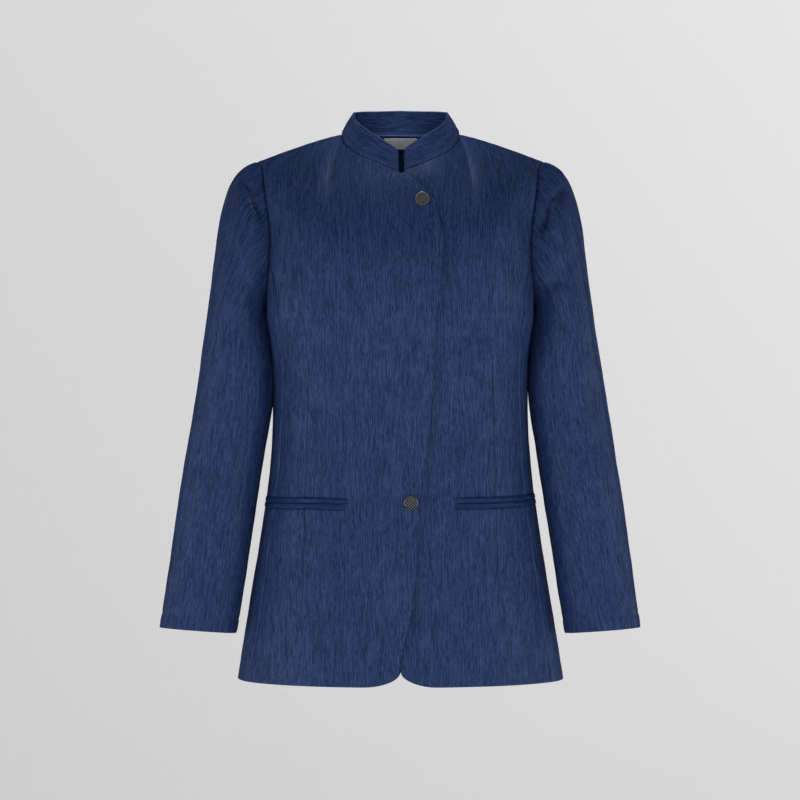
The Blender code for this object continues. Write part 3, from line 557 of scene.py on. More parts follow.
def foldDepth(x, z, rows):
    sunk = np.zeros_like(x)
    for startX, startZ, endX, endZ, width, depth in rows:
        length = math.hypot(endX - startX, endZ - startZ)
        alongX, alongZ = (endX - startX) / length, (endZ - startZ) / length
        midX, midZ = (startX + endX) / 2, (startZ + endZ) / 2
        far = (x - midX) * alongX + (z - midZ) * alongZ
        side = (x - midX) * -alongZ + (z - midZ) * alongX
        sunk += depth * np.exp(-((side / width) ** 2)) * np.exp(-((far / (0.5 * length)) ** 4))
    return sunk


def ripple(points):
    # slow unevenness of the hanging cloth, the same wherever two pieces meet
    chance = np.random.default_rng(ripples["seed"])
    height = np.zeros(points.shape[:-1])
    for _ in range(ripples["count"]):
        aim = unit(chance.normal(size=3) * np.array([1.0, 1.0, 0.55]))
        wave = ripples["shortest"] + (ripples["longest"] - ripples["shortest"]) * chance.random()
        waves = np.sin(points @ aim * 2 * math.pi / wave + chance.random() * 6.28)
        height += waves * math.sqrt(wave / ripples["longest"])
    return height / math.sqrt(ripples["count"] / 2) * ripples["height"]


def clothPoint(around, level, side, inset=0.0):
    point = bodyPoint(around, level)
    front = foldDepth(point[..., 0] * side, point[..., 2], bodyFolds["front"])
    back = foldDepth(point[..., 0] * side, point[..., 2], bodyFolds["back"])
    sunk = np.where(np.asarray(around) <= 1.0, front, back)
    sunk = sunk * softStep(np.abs(point[..., 1]) / bodyFolds["fadeDepth"])
    sunk = sunk * (1.0 - softStep((level - bodyFolds["fadeLevel"]) / (2.0 - bodyFolds["fadeLevel"])))
    mirrored = point * np.array([side, 1.0, 1.0])
    calm = 1.0 - softStep((level - bodyFolds["calmLevel"]) / (2.0 - bodyFolds["calmLevel"]))
    sunk = sunk + (ripple(mirrored) + 0.3 * ripples["height"]) * calm
    inward = unit(point * np.array([-1.0 / body["flatness"], -1.0, 0.0]))
    return (point + inward * (sunk + inset)[..., None]) * np.array([side, 1.0, 1.0])


def armholeShare(level, front):
    # where a level of the body meets the armhole
    shares = np.linspace(0.60, 1.0, 321)
    point = bodyPoint(shares if front else 2.0 - shares, level)
    miss = np.abs(point[:, 1]) - along(body["armhole"], 1 if front else 2, point[:, 2])
    inside = np.nonzero(miss > 1e-6)[0]
    if not len(inside) or inside[-1] >= len(shares) - 2:
        return 1.0
    last = inside[-1]
    return shares[last] + (shares[last + 1] - shares[last]) * miss[last] / (miss[last] - miss[last + 1])


def armholeLevel(around):
    levels = np.linspace(1.0, 1.35, 701)
    point = bodyPoint(np.full_like(levels, around), levels)
    reach = along(body["armhole"], 1 if around <= 1.0 else 2, point[:, 2])
    met = (point[:, 2] >= body["armpit"]) & (np.abs(point[:, 1]) <= reach)
    return levels[np.argmax(met)] if met.any() else levels[-1]


def edgeShare(level, edge):
    shares = np.linspace(-0.40, 0.10, 201)
    point = bodyPoint(shares, level)
    return float(np.interp(0.0, point[:, 0] + along(edge, 1, point[:, 2]), shares))


def seamShare(level, front):
    pick = 1 if front else 2
    if level <= 1.0:
        return float(along(body["sideSeams"], pick, body["hem"] + (body["bust"] - body["hem"]) * level))
    low = body["sideSeams"][-1][pick]
    corner = armholeShare(1.0 + body["cornerLevel"], front)
    return low + (corner - low) * ((level - 1.0) / body["cornerLevel"]) ** body["cornerSweep"]


def outerShare(level, front):
    if level <= 1.0 + body["cornerLevel"] + 1e-9:
        return seamShare(level, front)
    return armholeShare(level, front)


def spaced(length, marks):
    # even steps from 0 to 1, with close ones on both sides of each mark
    count = max(int(round(length / cloth["step"])), 4)
    offsets = [sign * far / length for far in cloth["tight"] for sign in (-1, 1)]
    close = sorted({min(max(mark + offset, 0.0), 1.0) for mark in marks for offset in offsets})
    free = [step / count for step in range(count + 1)]
    margin = (cloth["tight"][-1] + 0.0016) / length
    free = [place for place in free if all(abs(place - mark) > margin for mark in marks)]
    places = sorted(set(free + close + [0.0, 1.0]))
    kept = [places[0]]
    for place in places[1:]:
        if place - kept[-1] > 0.00025 / length:
            kept.append(place)
    kept[-1] = 1.0
    return np.array(kept)


# lengths of cloth that are divided into rows and columns, in metres
spans = {
    "lower": 0.477, "upper": 0.262, "lap": 0.050, "chest": 0.085, "shoulder": 0.105,
    "side": 0.135, "backNeck": 0.075, "sleeveHead": 0.200, "collar": 0.032,
}
cornerAt = body["cornerLevel"]
lowLevels = spaced(spans["lower"], [0.0])
pocketLevels = (welt["height"] - body["hem"] + np.arange(*welt["rowReach"], welt["rowStep"])) / spans["lower"]
lowLevels = lowLevels[(lowLevels < pocketLevels[0] - 0.003) | (lowLevels > pocketLevels[-1] + 0.003)]
lowLevels = np.sort(np.concatenate([lowLevels, pocketLevels]))
highLevels = spaced(spans["upper"], [cornerAt, 1.0])
cornerRow = len(lowLevels) - 1 + int(np.argmin(np.abs(highLevels - cornerAt)))
panelLevels = np.concatenate([lowLevels, 1.0 + highLevels[1:]])
panelLevels[cornerRow] = 1.0 + cornerAt
sideSteps = spaced(spans["side"], [0.0, sleeve["underSeam"], 1.0])
underStep = int(np.argmin(np.abs(sideSteps - sleeve["underSeam"])))
shoulderSteps = spaced(spans["shoulder"], [1.0])
neckSteps = spaced(spans["backNeck"], [0.0])


def pocketMiddle(part, side):
    # height of the line where the two welts of a pocket meet
    return welt["height"] + welt["rise"][side] * part + welt["wave"] * np.sin(part * 8.0 + side)


def pocketDepth(around, level, side):
    # the panel sinks along the three lines of the welts
    part = (around - welt["start"]) / (welt["end"] - welt["start"])
    height = body["hem"] + (body["bust"] - body["hem"]) * level
    off = np.abs(height - pocketMiddle(np.clip(part, 0.0, 1.0), side))
    edge = welt["slit"] / 2 + welt["band"]
    lines = np.exp(-(((off - edge) / welt["grooveWidth"]) ** 2)) + np.exp(-((off / welt["grooveWidth"]) ** 2))
    ends = softStep(part / 0.03) * softStep((1.0 - part) / 0.02)
    return welt["grooveDepth"] * lines * ends


def frontPanel(side, front, lower):
    endShare = neck["share"] * math.degrees(math.asin(front["collarEnd"] / neck["halfWidth"])) / 90.0
    firstShare = edgeShare(1.0 + front["topLevels"][0], front["edge"])
    end = (endShare - firstShare) / (neck["share"] - firstShare)
    lap = spaced(spans["lap"], [0.0, 1.0]) * end
    rest = end + (1.0 - end) * spaced(spans["chest"], [0.0])[1:]
    weights = np.concatenate([lap, rest])
    topLevel = np.interp(weights, [0.0, 0.5 * end, end], list(front["topLevels"]) + [1.0])
    around, level = [], []
    girth = ringLength(body["hem"])
    for height in panelLevels:
        above = max(height - 1.0, 0.0)
        inner = edgeShare(min(height, 1.0) + above * front["topLevels"][0], front["edge"])
        shares = inner + (neck["share"] - inner) * weights
        outer = outerShare(height, True)
        shares = np.concatenate([shares, neck["share"] + (outer - neck["share"]) * shoulderSteps[1:]])
        tops = np.concatenate([topLevel, np.ones(len(shoulderSteps) - 1)])
        here = min(height, 1.0) + above * tops
        if height < 1.0:
            wide, tall = body["frontCorner"]
            gone = 1.0 - np.clip((shares - inner) * girth / wide, 0.0, 1.0)
            lift = tall * (1.0 - np.sqrt(1.0 - gone ** 2))
            here = here + lift / (body["bust"] - body["hem"]) * (1.0 - height) ** 3
        around.append(shares)
        level.append(here)
    around, level = np.array(around), np.array(level)
    inset = pocketDepth(around, level, side)
    if lower:
        point = bodyPoint(around, level)
        covered = along(overlap["edge"], 1, point[..., 2]) + front["margin"]
        inset += front["inset"] * (1.0 - softStep((point[..., 0] - covered) / front["ease"]))
    return clothPoint(around, level, side, inset), len(lap) - 1, len(weights) - 1


def ringLength(height):
    shares = np.linspace(0.0, 1.0, 200)
    point = ringPoint(np.full_like(shares, height), shares, 2)
    return float(np.sum(np.linalg.norm(np.diff(point, axis=0), axis=1)))


def backPanel(side):
    around, level = [], []
    for height in panelLevels:
        beyond = outerShare(height, False) - neck["share"]
        shares = np.concatenate([neck["share"] * neckSteps, neck["share"] + beyond * shoulderSteps[1:]])
        around.append(2.0 - shares)
        level.append(np.full(len(shares), height))
    return clothPoint(np.array(around), np.array(level), side)


def sidePanel(side):
    corner = 1.0 + cornerAt
    first, last = armholeShare(corner, True), 2.0 - armholeShare(corner, False)
    reach = np.array([armholeLevel(first + (last - first) * step) for step in sideSteps])
    reach[0] = reach[-1] = corner
    around, level = [], []
    for height in panelLevels[: cornerRow + 1]:
        start, end = seamShare(height, True), 2.0 - seamShare(height, False)
        around.append(start + (end - start) * sideSteps)
        part = max(height - 1.0, 0.0) / cornerAt
        level.append(height + np.zeros_like(sideSteps) if height <= 1.0 else 1.0 + (reach - 1.0) * part)
    around, level = np.array(around), np.array(level)
    return clothPoint(around, level, side, pocketDepth(around, level, side))


def weltGrid(side, upper):
    # one folded strip, on the panels' points and moved out
    parts = np.linspace(0.0, 1.0, 60)
    shares = welt["start"] + (welt["end"] - welt["start"]) * parts
    taper = softStep(parts / welt["taper"]) * softStep((1.0 - parts) / welt["taper"])
    rows = []
    for across in np.linspace(0.0, 1.0, 9):
        off = (welt["slit"] / 2 + welt["band"] * across) * (1 if upper else -1)
        height = pocketMiddle(parts, side) + off + 0.0002 * np.sin(parts * 15.0 + 4.0 * across + side)
        level = (height - body["hem"]) / (body["bust"] - body["hem"])
        crown = math.sqrt(max(1.0 - (2.0 * across - 1.0) ** 4, 0.0))
        lift = welt["lift"] * (0.1 + 0.9 * taper) + welt["swell"] * crown * taper
        rows.append(clothPoint(shares, level, side, -lift))
    return np.array(rows)


def labelGrid():
    across = np.linspace(-1.0, 1.0, 31) * label["halfWidth"]
    shares = neck["share"] * np.degrees(np.arcsin(np.abs(across) / neck["halfWidth"])) / 90.0
    levels = np.linspace(1.6, 2.0, 81)
    heights = bodyPoint(2.0 - shares[:, None], levels[None, :])[..., 2]
    rows = []
    for part in np.linspace(0.0, 1.0, 15):
        low = heights[:, -1] - label["drop"] - label["height"] * part
        here = np.array([np.interp(at, column, levels) for at, column in zip(low, heights)])
        right = clothPoint(2.0 - shares, here, -1, label["inset"])
        left = clothPoint(2.0 - shares, here, 1, label["inset"])
        rows.append(np.where((across < 0)[:, None], right, left))
    return np.array(rows)


def sleeveCentre(height, side):
    out = along(sleeve["rings"], 1, height)
    forward = along(sleeve["rings"], 4, height)
    return np.stack([out * side, -forward, height + np.zeros_like(out)], axis=-1)


def sleeveRing(height, side, angles):
    step = sleeve["axisStep"]
    centre = sleeveCentre(height, side)
    axis = unit(sleeveCentre(height - step, side) - sleeveCentre(height + step, side))
    wide = unit(np.array([side, 0.0, 0.0]) - axis * axis[0] * side)
    deep = np.cross(axis, wide)
    deep = deep * (-1.0 if deep[1] > 0 else 1.0)
    power = 2.0 / sleeve["squareness"]
    across = along(sleeve["rings"], 2, height) * np.sign(np.cos(angles)) * np.abs(np.cos(angles)) ** power
    away = along(sleeve["rings"], 3, height) * np.sign(np.sin(angles)) * np.abs(np.sin(angles)) ** power
    return centre + across[:, None] * wide + away[:, None] * deep


def sleeveSink(points, side, strength):
    # folds and ripples of a sleeve, toward its middle line
    low, high = sleeve["rings"][0][0], sleeve["rings"][-1][0]
    centre = sleeveCentre(np.clip(points[..., 2], low, high), side)
    centre[..., 2] = points[..., 2]
    away = points - centre
    facing = softStep(0.5 - away[..., 1] / sleeveFolds["turnDepth"])
    sunk = foldDepth(points[..., 0], points[..., 2], sleeveFolds["front"]) * facing
    sunk += foldDepth(points[..., 0], points[..., 2], sleeveFolds["back"]) * (1.0 - facing)
    sunk += ripple(points) * sleeveFolds["rippleShare"]
    return points - unit(away) * (sunk * strength)[..., None]


def sleeveGrid(loop, side):
    # from the armhole's loop to the first ring, then ring by ring to the cuff
    lengths = np.concatenate([[0.0], np.cumsum(np.linalg.norm(np.diff(loop, axis=0), axis=1))])
    pit = int(np.argmin(loop[:, 2]))
    rising = math.pi + math.pi * (lengths - lengths[pit]) / (lengths[-1] - lengths[pit])
    angles = np.where(np.arange(len(loop)) <= pit, math.pi * lengths / lengths[pit], rising)
    top, bottom = sleeve["rings"][-1][0], sleeve["rings"][0][0]
    end = sleeveRing(top, side, angles)
    onward = unit(sleeveRing(top - sleeve["axisStep"], side, angles) - end)
    reach = np.linalg.norm(end - loop, axis=1, keepdims=True)
    inner = 0.5 - 0.5 * np.cos(angles)
    fall = sleeve["capFallOutside"] + (sleeve["capFallInside"] - sleeve["capFallOutside"]) * inner ** 3
    outward = np.full_like(angles, side * sleeve["capOutward"])
    leave = unit(np.stack([outward, -sleeve["capForward"] * np.sin(angles), -fall], axis=-1))
    lead = loop + leave * sleeve["capPullOut"] * reach
    trail = end - onward * sleeve["capPullDown"] * reach
    rows = []
    for t in spaced(spans["sleeveHead"], [0.0]):
        rows.append(sleeveSink(bezier(loop, lead, trail, end, t), side, softStep(t / sleeveFolds["easeIn"])))
    for part in spaced(top - bottom, [1.0])[1:]:
        height = top + (bottom - top) * part
        rows.append(sleeveSink(sleeveRing(height, side, angles), side, 1.0))
    return np.array(rows)


def collarGrid(base):
    # from the end on the right front, round the back, to the end on the left front
    lengths = np.concatenate([[0.0], np.cumsum(np.linalg.norm(np.diff(base, axis=0), axis=1))])
    nearEnd = np.minimum(lengths, lengths[-1] - lengths)
    radius = collar["cornerRadius"]
    gone = radius - np.minimum(nearEnd, radius)
    cut = radius - np.sqrt(radius ** 2 - gone ** 2)
    angle = np.degrees(np.arctan2(np.abs(base[:, 0]) / neck["halfWidth"], -base[:, 1] / collar["halfDepth"]))
    rise = along(collar["band"], 1, angle) - cut
    lean = along(collar["band"], 2, angle)
    inward = -unit(base * np.array([1.0, 1.0, 0.0]))
    rows = []
    for part in spaced(spans["collar"], [0.0, 1.0]):
        bow = math.sin(math.pi * part) * collar["bow"]
        row = base + inward * (lean * part - bow)[:, None]
        row[:, 2] = base[:, 2] + rise * part
        rows.append(row)
    return np.array(rows)


# Cloth pieces as meshes

class ClothSheet:
    def __init__(self, name, grid, middle, seams, freeSides):
        self.name = name
        self.grid = np.array(grid)
        self.seams = seams  # which of top, bottom, first, last are sewn
        self.freeSides = freeSides  # which are folded edges that show
        over = np.gradient(self.grid, axis=1)
        down = np.gradient(self.grid, axis=0)
        out = unit(np.cross(down, over))
        if np.sum(out * (self.grid - middle(self.grid))) < 0:
            out = -out
        self.out = out

    def distances(self):
        across = np.linalg.norm(np.diff(self.grid, axis=1), axis=2)
        up = np.linalg.norm(np.diff(self.grid, axis=0), axis=2)
        rows, columns = self.grid.shape[:2]
        fromFirst = np.concatenate([np.zeros((rows, 1)), np.cumsum(across, axis=1)], axis=1)
        fromBottom = np.concatenate([np.zeros((1, columns)), np.cumsum(up, axis=0)], axis=0)
        return {
            "first": fromFirst,
            "last": fromFirst[:, -1:] - fromFirst,
            "bottom": fromBottom,
            "top": fromBottom[-1:] - fromBottom,
        }

    def sew(self, stitchRows=()):
        # seams lie in a groove with a low swelling beside them
        far = self.distances()
        sunk = np.zeros(self.grid.shape[:2])
        for name in self.seams:
            near = far[name]
            deep = cloth["armholeDepth"] if name == "top" and "Sleeve" in self.name else cloth["seamDepth"]
            groove = deep * np.exp(-((near / cloth["seamWidth"]) ** 2))
            swell = cloth["puffHeight"] * np.exp(-(((near - cloth["puffPlace"]) / cloth["puffWidth"]) ** 2))
            run = far["bottom"] if name in ("first", "last") else far["first"]
            short, long = cloth["puckerWaves"]
            pucker = np.sin(run * 2 * math.pi / short + 2.2 * np.sin(run * 2 * math.pi / long))
            pucker *= cloth["puckerHeight"] * np.exp(-((near - cloth["puckerPlace"]) / cloth["puckerPlace"]) ** 2)
            sunk = np.maximum(sunk, groove) - swell - pucker
        for name, (place, depth, width) in stitchRows:
            line = np.exp(-(((far[name] - place) / width) ** 2))
            turning = np.exp(-(((far[name] - place * 0.5) / (place * 0.4)) ** 2))
            sunk += depth * line - 0.5 * depth * turning
        self.grid = self.grid - self.out * sunk[..., None]


def shareSeams(sheets):
    # points that lie on each other get one outward direction, so that the walls meet
    keys, sums = [], {}
    for sheet in sheets:
        flat = np.round(sheet.grid.reshape(-1, 3), 5)
        edge = np.zeros(sheet.grid.shape[:2], bool)
        edge[0] = edge[-1] = True
        edge[:, 0] = edge[:, -1] = True
        places = np.nonzero(edge.reshape(-1))[0]
        keys.append([(index, tuple(flat[index] + 0.0)) for index in places])
        directions = sheet.out.reshape(-1, 3)
        for index, key in keys[-1]:
            sums[key] = sums.get(key, 0) + directions[index]
    for sheet, own in zip(sheets, keys):
        directions = sheet.out.reshape(-1, 3)
        for index, key in own:
            size = np.linalg.norm(sums[key])
            if size > 0.3:
                directions[index] = sums[key] / size
        sheet.out = directions.reshape(sheet.grid.shape)


def bandGrain(sheet):
    # metres across and along the grain, which runs along the strip
    far = sheet.distances()
    up = far["bottom"].mean(axis=1, keepdims=True)
    return np.stack(np.broadcast_arrays(up, far["first"].mean(axis=0, keepdims=True)), axis=-1)


def panelGrain(sheet):
    # the warp hangs plumb where the cloth faces forward, and follows the cloth round the sides
    points, out = sheet.grid, (sheet.out[:, 1:] + sheet.out[:, :-1]) / 2
    turned = np.abs(out[..., 0]) / np.maximum(np.hypot(out[..., 0], out[..., 1]), 1e-6)
    step = np.diff(points, axis=1)
    width = np.hypot(step[..., 0], turned * step[..., 1])
    across = np.concatenate([np.zeros((len(points), 1)), np.cumsum(width, axis=1)], axis=1)
    if sheet.name.startswith("side"):
        across = across - across[:, points.shape[1] // 2][:, None]
    else:
        across = across + points[:, :1, 0] * (-1 if sheet.name.endswith("Right") else 1)
    up = sheet.distances()["bottom"].mean(axis=1, keepdims=True)
    return np.stack(np.broadcast_arrays(across, up), axis=-1)


def sleeveGrain(sheet):
    # the warp runs down the arm: metres round it from its outer line, and metres down that line
    side = -1 if sheet.name.endswith("Right") else 1
    low, high = sleeve["rings"][0][0], sleeve["rings"][-1][0]
    line = outerLines[side]
    level = sheet.grid[..., 2]
    height = np.clip(level, low, high)
    head = softStep((level - high) / (line[-1, 2] - high))
    away = sheet.grid - sleeveCentre(height, side)
    away[..., 0] = away[..., 0] * side + sleeve["headShift"] * head
    ringWide, ringDeep = along(sleeve["rings"], 2, height), along(sleeve["rings"], 3, height)
    headWide = np.interp(level, line[:, 2], line[:, 0] * side) - along(sleeve["rings"], 1, height)
    headWide = headWide + sleeve["headShift"] * head
    wide = ringWide + (headWide - ringWide) * head
    deep = ringDeep + (sleeve["headDepth"] - ringDeep) * head
    turn = np.arctan2(-away[..., 1] / deep, away[..., 0] / wide)
    if sheet.name.startswith("under"):
        turn = np.where(turn < 0, turn + 2 * math.pi, turn)
    lengths = np.concatenate([[0.0], np.cumsum(np.linalg.norm(np.diff(line, axis=0), axis=1))])
    down = np.interp(level, line[:, 2], lengths)
    return np.stack([turn * sleeve["radius"] * (1.0 - sleeve["headNarrow"] * head), down], axis=-1)


def borderRing(rows, columns):
    ring = [(0, step) for step in range(columns)]
    ring += [(row, columns - 1) for row in range(1, rows)]
    ring += [(rows - 1, step) for step in range(columns - 2, -1, -1)]
    ring += [(row, 0) for row in range(rows - 2, 0, -1)]
    return ring


def makeCloth(sheet, material, wall, grain, shift):
    # outer face, inner face and a rolled border between them, as one closed mesh
    rows, columns = sheet.grid.shape[:2]
    outer = sheet.grid
    inner = sheet.grid - sheet.out * wall
    ring = borderRing(rows, columns)
    corner = len(ring)
    index = np.arange(rows * columns).reshape(rows, columns)
    quads = np.stack([index[:-1, :-1], index[:-1, 1:], index[1:, 1:], index[1:, :-1]], axis=-1).reshape(-1, 4)
    row, step = rows // 2, columns // 2
    normal = np.cross(outer[row, step + 1] - outer[row, step], outer[row + 1, step] - outer[row, step])
    turned = np.dot(normal, sheet.out[row, step]) < 0
    if turned:
        quads = quads[:, ::-1]
    offset = rows * columns
    faces = quads.tolist() + (quads[:, ::-1] + offset).tolist()
    points = [outer.reshape(-1, 3), inner.reshape(-1, 3)]
    maps = [grain.reshape(-1, 2)] * 2
    # the roll: three points between each pair of border points
    away = np.zeros((corner, 3))
    show = np.zeros(corner)
    for place, (row, step) in enumerate(ring):
        for name, other, at in (
            ("bottom", (1, step), row == 0),
            ("top", (rows - 2, step), row == rows - 1),
            ("first", (row, 1), step == 0),
            ("last", (row, columns - 2), step == columns - 1),
        ):
            if at:
                away[place] += unit(outer[row, step] - outer[other])
                show[place] = max(show[place], 1.0 if name in sheet.freeSides else 0.0)
    away = unit(away)
    outerRing = np.array([outer[place] for place in ring])
    innerRing = np.array([inner[place] for place in ring])
    ringGrain = np.array([grain[place] for place in ring])
    half = (outerRing - innerRing) / 2
    for turn in np.radians((45.0, 90.0, 135.0)):
        roundness = cloth["rollHidden"] + (1.0 - cloth["rollHidden"]) * show
        bulge = away * (np.linalg.norm(half, axis=1) * math.sin(turn) * roundness)[:, None]
        points.append(innerRing + half * (1 + math.cos(turn)) + bulge)
        maps.append(ringGrain)
    outerIds = [row * columns + step for row, step in ring]
    chains = [outerIds] + [list(range(2 * offset + k * corner, 2 * offset + (k + 1) * corner)) for k in range(3)]
    chains.append([place + offset for place in outerIds])
    for near, far in zip(chains, chains[1:]):
        for place in range(corner):
            after = (place + 1) % corner
            face = [near[after], near[place], far[place], far[after]]
            faces.append(face[::-1] if turned else face)
    mesh = bpy.data.meshes.new(sheet.name)
    mesh.from_pydata(np.concatenate(points).tolist(), [], faces)
    allMaps = np.concatenate(maps) + np.array(shift)
    layer = mesh.uv_layers.new(name="grain")
    loops = np.zeros(len(mesh.loops), np.int32)
    mesh.loops.foreach_get("vertex_index", loops)
    layer.data.foreach_set("uv", allMaps[loops].astype(np.float32).reshape(-1))
    mesh.polygons.foreach_set("use_smooth", np.ones(len(mesh.polygons), bool))
    mesh.update()
    made = bpy.data.objects.new(sheet.name, mesh)
    bpy.context.scene.collection.objects.link(made)
    mesh.materials.append(material)
    return made


def declareCloth(made):
    node, flat, area = cuts[made.name]
    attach(made, "root")
    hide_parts(node)
    print(made.name, len(made.data.polygons), "faces, cut", flat)


# Finishes

suiting = {
    "dark": (0.0052, 0.0120, 0.0510, 1.0),
    "light": (0.0280, 0.0520, 0.1450, 1.0),
    "roughness": (0.44, 0.60),
    "bump": 0.12,
    "contrast": 1.15,
    "specular": 0.42,
    "tint": (0.35, 0.52, 1.0, 1.0),
    # paint dark shade lines along the darts
    "darts": True,
}

# the suiting painted darker for the pocket welts: painted shade, as the welts are cut from the same cloth
shadedWeltCloth = {
    "dark": (0.0032, 0.0098, 0.0430, 1.0),
    "light": (0.0180, 0.0410, 0.1260, 1.0),
    "roughness": (0.46, 0.60),
    "bump": 0.10,
    "contrast": 0.9,
    "specular": 0.25,
    "tint": (0.35, 0.52, 1.0, 1.0),
    "darts": False,
}

satin = {
    "dark": (0.78, 0.79, 0.86, 1.0),
    "light": (0.94, 0.94, 0.98, 1.0),
    "roughness": (0.34, 0.46),
    "bump": 0.06,
    "contrast": 0.6,
    "specular": 0.50,
    "tint": (1.0, 1.0, 1.0, 1.0),
    "darts": False,
}

# layer: width and length as shares of a slub's, detail, seed, weight
slubs = {
    "width": 0.0009,
    "length": 0.0300,
    "layers": (
        (1.0, 1.0, 0.0, 1.3, 1.25),
        (0.62, 0.30, 0.0, 7.7, 1.5),
        (6.0, 0.030, 0.0, 3.1, 0.60),
        (16.0, 1.6, 1.0, 9.4, 0.25),
    ),
    "warpStep": 0.0011,
    "weftStep": 0.0013,
    "relief": 0.0004,
    "edgeOn": (0.45, 0.85),  # where the cloth starts to be matt and is quite matt
    "refraction": 1.45,
}

metal = {
    # near black for the low parts: partly the antique finish, partly painted shade
    "darkPatinaAndShade": (0.004, 0.004, 0.004, 1.0),
    "raised": (0.150, 0.158, 0.164, 1.0),
    "roughness": (0.38, 0.62),
    "metallic": 0.80,
    "patinaScale": 900.0,
    "patinaDetail": 3.0,
    "wear": (0.50, 0.72),  # its change over the patina, and its least
    "bump": 0.25,
    "relief": 0.0001,
}


def addNode(tree, kind, place, **values):
    node = tree.nodes.new(kind)
    node.location = place
    for name, value in values.items():
        setattr(node, name, value)
    return node


def mathNode(tree, place, operation, first, second=None, third=None):
    node = addNode(tree, "ShaderNodeMath", place, operation=operation)
    for socket, value in zip(node.inputs, (first, second, third)):
        if value is None:
            continue
        if isinstance(value, (int, float)):
            socket.default_value = value
        else:
            tree.links.new(value, socket)
    return node.outputs[0]


def slubWeave():
    # heathered yarn: long slubs along the grain, fine yarn across it
    group = bpy.data.node_groups.new("slubWeave", "ShaderNodeTree")
    group.interface.new_socket("Grain", in_out="INPUT", socket_type="NodeSocketVector")
    for name, start in (("Slub Width", 0.0012), ("Slub Length", 0.020), ("Contrast", 1.0)):
        socket = group.interface.new_socket(name, in_out="INPUT", socket_type="NodeSocketFloat")
        socket.default_value = start
    group.interface.new_socket("Shade", in_out="OUTPUT", socket_type="NodeSocketFloat")
    group.interface.new_socket("Height", in_out="OUTPUT", socket_type="NodeSocketFloat")
    entry = addNode(group, "NodeGroupInput", (-1200, 0))
    leave = addNode(group, "NodeGroupOutput", (900, 0))
    parts = addNode(group, "ShaderNodeSeparateXYZ", (-1000, 0))
    group.links.new(entry.outputs["Grain"], parts.inputs[0])

    def streaks(high, widthShare, lengthShare, detail, seed):
        width = mathNode(group, (-850, high + 80), "MULTIPLY", entry.outputs["Slub Width"], widthShare)
        length = mathNode(group, (-850, high - 120), "MULTIPLY", entry.outputs["Slub Length"], lengthShare)
        across = mathNode(group, (-700, high), "DIVIDE", parts.outputs[0], width)
        down = mathNode(group, (-700, high - 160), "DIVIDE", parts.outputs[1], length)
        joined = addNode(group, "ShaderNodeCombineXYZ", (-540, high))
        group.links.new(across, joined.inputs[0])
        group.links.new(down, joined.inputs[1])
        joined.inputs[2].default_value = seed
        noise = addNode(group, "ShaderNodeTexNoise", (-380, high))
        noise.inputs["Scale"].default_value = 1.0
        noise.inputs["Detail"].default_value = detail
        noise.inputs["Roughness"].default_value = 0.6
        group.links.new(joined.outputs[0], noise.inputs["Vector"])
        return noise.outputs["Fac"]

    # long slubs, fine yarn, yarn across them and slow clouds
    layers = [streaks(400 - 300 * place, *row[:4]) for place, row in enumerate(slubs["layers"])]
    mixed = 0.0
    for place, (layer, row) in enumerate(zip(layers, slubs["layers"])):
        centred = mathNode(group, (150 * place - 150, 300 - 80 * place), "SUBTRACT", layer, 0.5)
        mixed = mathNode(group, (150 * place, 300 - 50 * place), "MULTIPLY_ADD", centred, row[4], mixed)
    shade = addNode(group, "ShaderNodeMath", (620, 100), operation="MULTIPLY_ADD", use_clamp=True)
    group.links.new(mixed, shade.inputs[0])
    group.links.new(entry.outputs["Contrast"], shade.inputs[1])
    shade.inputs[2].default_value = 0.5
    group.links.new(shade.outputs[0], leave.inputs["Shade"])
    # yarns crossing over and under
    turns = mathNode(group, (-350, -600), "MULTIPLY", parts.outputs[0], 2 * math.pi / slubs["warpStep"])
    warp = mathNode(group, (-200, -600), "SINE", turns)
    turns = mathNode(group, (-350, -750), "MULTIPLY", parts.outputs[1], 2 * math.pi / slubs["weftStep"])
    weft = mathNode(group, (-200, -750), "SINE", turns)
    grid = mathNode(group, (0, -650), "MULTIPLY", warp, weft)
    height = mathNode(group, (200, -600), "MULTIPLY_ADD", grid, 0.25, layers[0])
    height = mathNode(group, (400, -550), "MULTIPLY_ADD", layers[1], 0.5, height)
    group.links.new(height, leave.inputs["Height"])
    return group


weave = slubWeave()

# painted shade along the long darts: where its dark line runs and how much darker it makes the cloth
dartShade = {
    "aside": 0.1120,  # from the centre line, and its change with height
    "slope": -0.0240,
    "width": 0.0013,
    "middle": -0.450,  # height of the line's middle, and half its length
    "reach": 0.165,
    "fade": 0.050,
    "frontOnly": -40.0,  # no line behind the middle plane, all of it 25 mm before it
    "shade": 0.80,
}


